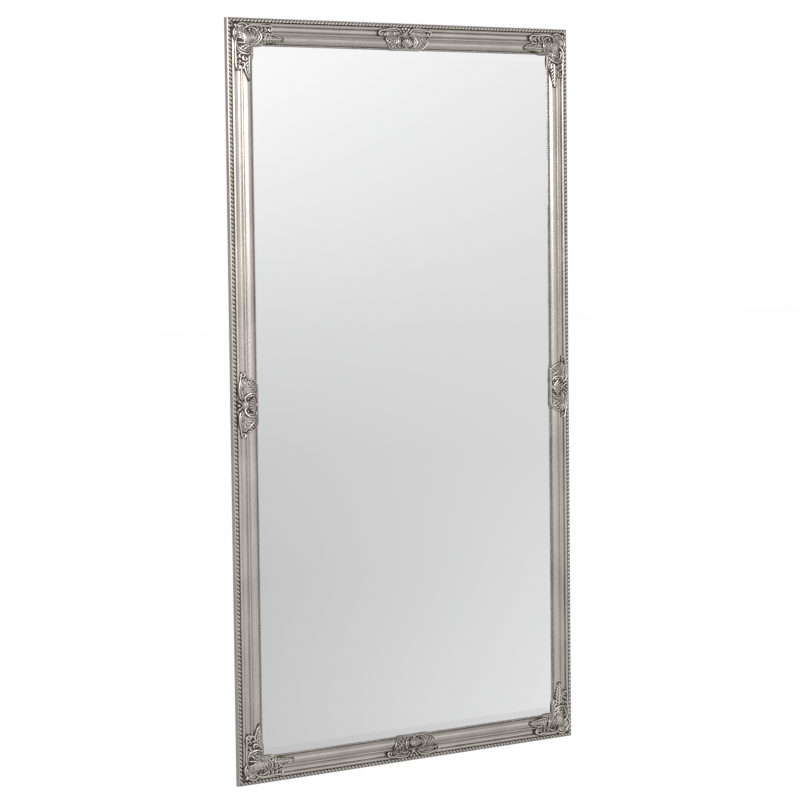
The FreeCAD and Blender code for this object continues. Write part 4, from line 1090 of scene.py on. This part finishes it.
def layOver(piece, across, trueAcross):
    # lays the flat casting over the moulding and paints grime and shade into its hollows and low places
    spots = places(piece).astype(float)
    high = spots[:, 2] / mm
    # points below their smoothed surroundings get grime and painted shade
    hollow = smoothHeights(piece, ground["hollowRounds"]) / mm - high
    rubbed = ground["rubbedShare"] * np.maximum(high - ground["rubbedAbove"], 0)
    grimeAndShade = ground["openGrime"] + ground["hollowGrimeAndShade"] * hollow - rubbed
    # the low places get painted shade and grime, less so at the sight edge
    low = np.clip((ground["lowBelow"] - high) / ground["lowFade"], 0, 1)
    sight = np.clip((trueAcross - ground["sightFrom"]) / ground["sightFade"], 0, 1)
    low = low * (ground["plateGrimeAndShade"] - ground["sightEase"] * sight)
    paint(piece, "grimeAndShade", np.clip(np.maximum(grimeAndShade, low), ground["leastGrimeAndShade"], 1))
    over = groundUp(across) + np.maximum(high, 0)
    bed = mouldingUp(np.clip(trueAcross, *ground["bedRange"])) - ground["bed"]
    under = np.clip(-high / ground["sunk"], 0, 1)
    up = np.minimum(over * (1 - under) + bed * under, ground["highest"])
    spots[:, 2] = (up + mirrorSize["standOff"]) * mm
    movePoints(piece, spots)
    piece.data.transform(Matrix.Rotation(math.radians(90), 4, "X"))


def makeCorner():
    forms = addForms(cornerCasting)
    skinForms(forms, -45)
    spots = places(forms) / mm
    along, across = spots[:, 0], -spots[:, 1]
    near = np.minimum(along, across)
    # on the mitre the ground dips, so that the two arms meet in a soft valley
    blend = np.maximum(ground["mitreWidth"] - np.abs(along - across), 0) / ground["mitreWidth"]
    layOver(forms, near - blend * blend * ground["mitreDip"], near)
    return forms


def makeMiddle():
    forms = addForms(middleCasting)
    skinForms(forms, 90)
    across = -places(forms)[:, 1] / mm
    layOver(forms, across, across)
    return forms


# How much darker some castings are made than the others.
castingDarkening = {
    "middle_ornament_bottom": 0.14,
    "middle_ornament_left": 0.04,
    "middle_ornament_right": 0.04,
    "corner_ornament_top_right": 0.06,
    "corner_ornament_bottom_right": 0.04,
}


def placeCasting(master, node, x, z, turn):
    casting = copyOf(master, node + ".cast")
    grimeAndShade = np.empty(len(casting.data.vertices), np.float32)
    casting.data.attributes["grimeAndShade"].data.foreach_get("value", grimeAndShade)
    paint(casting, "grimeAndShade", np.clip(grimeAndShade + castingDarkening.get(node, 0), 0, 1))
    place = Matrix.Translation((x * mm, 0, z * mm)) @ Matrix.Rotation(math.radians(turn), 4, "Y")
    casting.data.transform(place)
    take(casting)
    bpy.ops.object.shade_smooth()
    standFor(casting, "silvered_casting", node)


corner = makeCorner()
print("corner casting:", len(corner.data.polygons), "faces")
for name, (x, z, turn) in cornerPlaces.items():
    placeCasting(corner, f"corner_ornament_{name}", x, z, turn)
bpy.data.objects.remove(corner)

middle = makeMiddle()
print("middle casting:", len(middle.data.polygons), "faces")
for side, (_, reach, turn, _) in sides.items():
    outwards = Matrix.Rotation(math.radians(turn), 3, "Y") @ Vector((0, 0, reach))
    placeCasting(middle, f"middle_ornament_{side}", outwards.x, outwards.z, turn)
bpy.data.objects.remove(middle)
print("ornaments done")


# The glass and the pieces behind it keep their shapes and get their finishes.
slotNodes = {
    "mirror_glass": ["mirror_glass"],
    "cushion_foam": ["cushion_sheet"],
    "backing_board": ["backing_board"],
    "glazing_steel": ["glazing_points", "corner_v_nails"],
    "zinc_plate": [f"hanger_plate_{side}" for side in sides],
    "zinc_wire": [f"d_ring_{side}" for side in sides],
    "zinc_screw": ["hanger_screws"],
    "bumper_rubber": [f"wall_bumper_{name}" for name in cornerPlaces],
}
for slotName, names in slotNodes.items():
    for name in names:
        dress(nodes[name], slotName)
print("glass and back pieces dressed")


# Tones are pairs of height and grey. A range says where one part of the room fades into the next.
studio = {
    "floorLevel": -1.3,
    "floorSize": 60,
    "floorTones": ((0.86, 0.86, 0.855), (0.88, 0.88, 0.875)),
    "floorGlow": 1.08,
    "floorGlowShare": 0.85,
    "plainLight": 0.55,
    "leftTones": [
        (-0.306, 0.52), (-0.184, 0.60), (-0.135, 0.58), (-0.09, 0.628), (-0.045, 0.73), (0.0, 0.858),
        (0.054, 0.995), (0.2, 1.0),
    ],
    "rightTones": [
        (-0.306, 0.67), (-0.184, 0.80), (-0.09, 0.707), (-0.045, 0.73), (0.0, 0.79), (0.054, 0.866),
        (0.2, 0.91),
    ],
    "roomTones": [
        (-1.0, 0.42), (-0.45, 0.54), (-0.25, 0.68), (-0.1, 0.66), (0.03, 0.92), (0.14, 0.74),
        (0.42, 0.34), (0.8, 0.46), (1.0, 0.36),
    ],
    "leftSideTones": [
        (-1.0, 0.36), (-0.16, 0.40), (-0.09, 0.45), (-0.04, 0.60), (0.02, 0.80), (0.2, 0.85),
    ],
    "rightSide": (0.40, 0.39, 0.385),
    "behind": (0.42, 0.41, 0.405),
    "rightRange": (0.7, 0.93),
    "leftRange": (-0.6, -0.9),
    "behindRange": (0.05, 0.5),
    "wallRange": (0.87, 0.935),
    "viewTurn": 35,
    "viewSpread": 0.108,
}


def toneRamp(sheet, height, tones):
    low, high = tones[0][0], tones[-1][0]
    share = sheet.add(
        "ShaderNodeMapRange", {"Value": height, "From Min": low, "From Max": high}
    ).outputs["Result"]
    ramp = sheet.add("ShaderNodeValToRGB", {"Fac": share})
    stops = ramp.color_ramp.elements
    while len(stops) < len(tones):
        stops.new(0.5)
    for stop, (place, tone) in zip(stops, tones):
        stop.position = (place - low) / (high - low)
        stop.color = (tone, tone, tone, 1)
    return ramp.outputs["Color"]


def makeWorld():
    # white to the camera; for reflections a room that is dark above and at the right, with the
    # bright wall that the glass faces in its midst
    world = bpy.data.worlds.new("studio")
    bpy.context.scene.world = world
    world.use_nodes = True
    world.node_tree.nodes.clear()
    sheet = NodeSheet(world.node_tree)
    way = sheet.add("ShaderNodeTexCoord").outputs["Generated"]
    parts = sheet.add("ShaderNodeSeparateXYZ", {"Vector": way}).outputs
    turn = math.radians(studio["viewTurn"])
    # how far a ray leads sideways and ahead, as the camera's reflection sees it
    sideways, ahead = (
        sheet.math("ADD", sheet.math("MULTIPLY", parts["X"], x), sheet.math("MULTIPLY", parts["Y"], y))
        for x, y in ((math.cos(turn), math.sin(turn)), (math.sin(turn), -math.cos(turn)))
    )
    share = sheet.math("ADD", sheet.math("DIVIDE", sideways, studio["viewSpread"]), 0.5, clamp=True)
    left = toneRamp(sheet, parts["Z"], studio["leftTones"])
    right = toneRamp(sheet, parts["Z"], studio["rightTones"])
    wall = sheet.mix(share, left, right)
    room = toneRamp(sheet, parts["Z"], studio["roomTones"])
    room = sheet.mix(sheet.rise(parts["X"], *studio["rightRange"]), room, studio["rightSide"])
    leftSide = toneRamp(sheet, parts["Z"], studio["leftSideTones"])
    room = sheet.mix(sheet.rise(parts["X"], *studio["leftRange"]), room, leftSide)
    room = sheet.mix(sheet.rise(parts["Y"], *studio["behindRange"]), room, studio["behind"])
    seen = sheet.mix(sheet.rise(ahead, *studio["wallRange"]), room, wall)
    rays = sheet.add("ShaderNodeLightPath").outputs
    mirrored = sheet.math("MAXIMUM", rays["Is Glossy Ray"], rays["Is Transmission Ray"])
    white = sheet.add("ShaderNodeBackground", {"Color": (1, 1, 1), "Strength": 1.0})
    reflected = sheet.add("ShaderNodeBackground", {"Color": seen, "Strength": 1.0})
    plain = sheet.add("ShaderNodeBackground", {"Color": (1, 1, 1), "Strength": studio["plainLight"]})
    lit = sheet.add("ShaderNodeMixShader", {0: mirrored, 1: plain.outputs[0], 2: reflected.outputs[0]})
    shown = sheet.add(
        "ShaderNodeMixShader", {0: rays["Is Camera Ray"], 1: lit.outputs[0], 2: white.outputs[0]}
    )
    sheet.add("ShaderNodeOutputWorld", {"Surface": shown.outputs[0]})


def makeFloor():
    # a plain pale floor below the hanging mirror, nearly white to the camera but still shaded
    bpy.ops.mesh.primitive_plane_add(size=studio["floorSize"], location=(0, 0, studio["floorLevel"]))
    floor = bpy.context.object
    floor.name = "floor"
    settle(floor)
    sheet, spot = newMaterial("paleFloor")
    tone = sheet.mix(sheet.noise(spot, 3.0, 3.0), *studio["floorTones"])
    material = surfaceOf(sheet, tone, 0.9)
    glow = sheet.add("ShaderNodeEmission", {"Color": (1, 1, 1), "Strength": studio["floorGlow"]})
    rays = sheet.add("ShaderNodeLightPath").outputs
    share = sheet.math("MULTIPLY", rays["Is Camera Ray"], studio["floorGlowShare"])
    shader, output = (sheet.tree.nodes[name] for name in ("Principled BSDF", "Material Output"))
    both = sheet.add("ShaderNodeMixShader", {0: share, 1: shader.outputs[0], 2: glow.outputs[0]})
    sheet.feed(output.inputs["Surface"], both.outputs[0])
    floor.data.materials.append(material)
    floor.visible_glossy = False


# Each lamp: place, what it looks at, width, height, watts and whether metal mirrors it.
lamps = {
    "softLeft": ((-1.7, -2.4, 1.15), (-0.3, 0, 0.6), 3.0, 1.5, 34, True),
    "softSide": ((-3.0, -0.9, 1.3), (-0.5, 0, 0.6), 1.5, 1.5, 12, True),
    "spark": ((-1.6, -3.0, 2.5), (0, 0, 0), 0.6, 0.6, 9, True),
    "overhead": ((0.4, -1.6, 2.9), (0, 0, 0.3), 2.2, 1.2, 22, False),
}


def makeLamp(name, place, target, width, height, watts, mirrored):
    light = bpy.data.lights.new(name, "AREA")
    light.shape = "RECTANGLE"
    light.size, light.size_y = width, height
    light.energy = watts
    lamp = bpy.data.objects.new(name, light)
    lamp.location = place
    lamp.rotation_euler = (Vector(target) - Vector(place)).to_track_quat("-Z", "Y").to_euler()
    lamp.visible_camera = False
    lamp.visible_glossy = mirrored
    bpy.context.scene.collection.objects.link(lamp)


view = {
    "place": (-3.74220, -5.33878, 0.44469),
    "turn": (85.99265, 0.66968, -34.98896),
    "lens": 120.358,
    "sensor": 36,
    "farthest": 200,
}


def makeCamera():
    camera = bpy.data.objects.new("camera", bpy.data.cameras.new("camera"))
    bpy.context.scene.collection.objects.link(camera)
    camera.location = view["place"]
    camera.rotation_euler = [math.radians(angle) for angle in view["turn"]]
    camera.data.lens = view["lens"]
    camera.data.sensor_width = view["sensor"]
    camera.data.clip_end = view["farthest"]
    bpy.context.scene.camera = camera


makeWorld()
makeFloor()
for name, settings in lamps.items():
    makeLamp(name, *settings)
makeCamera()
bpy.context.scene.view_settings.view_transform = "Standard"
print("studio ready")
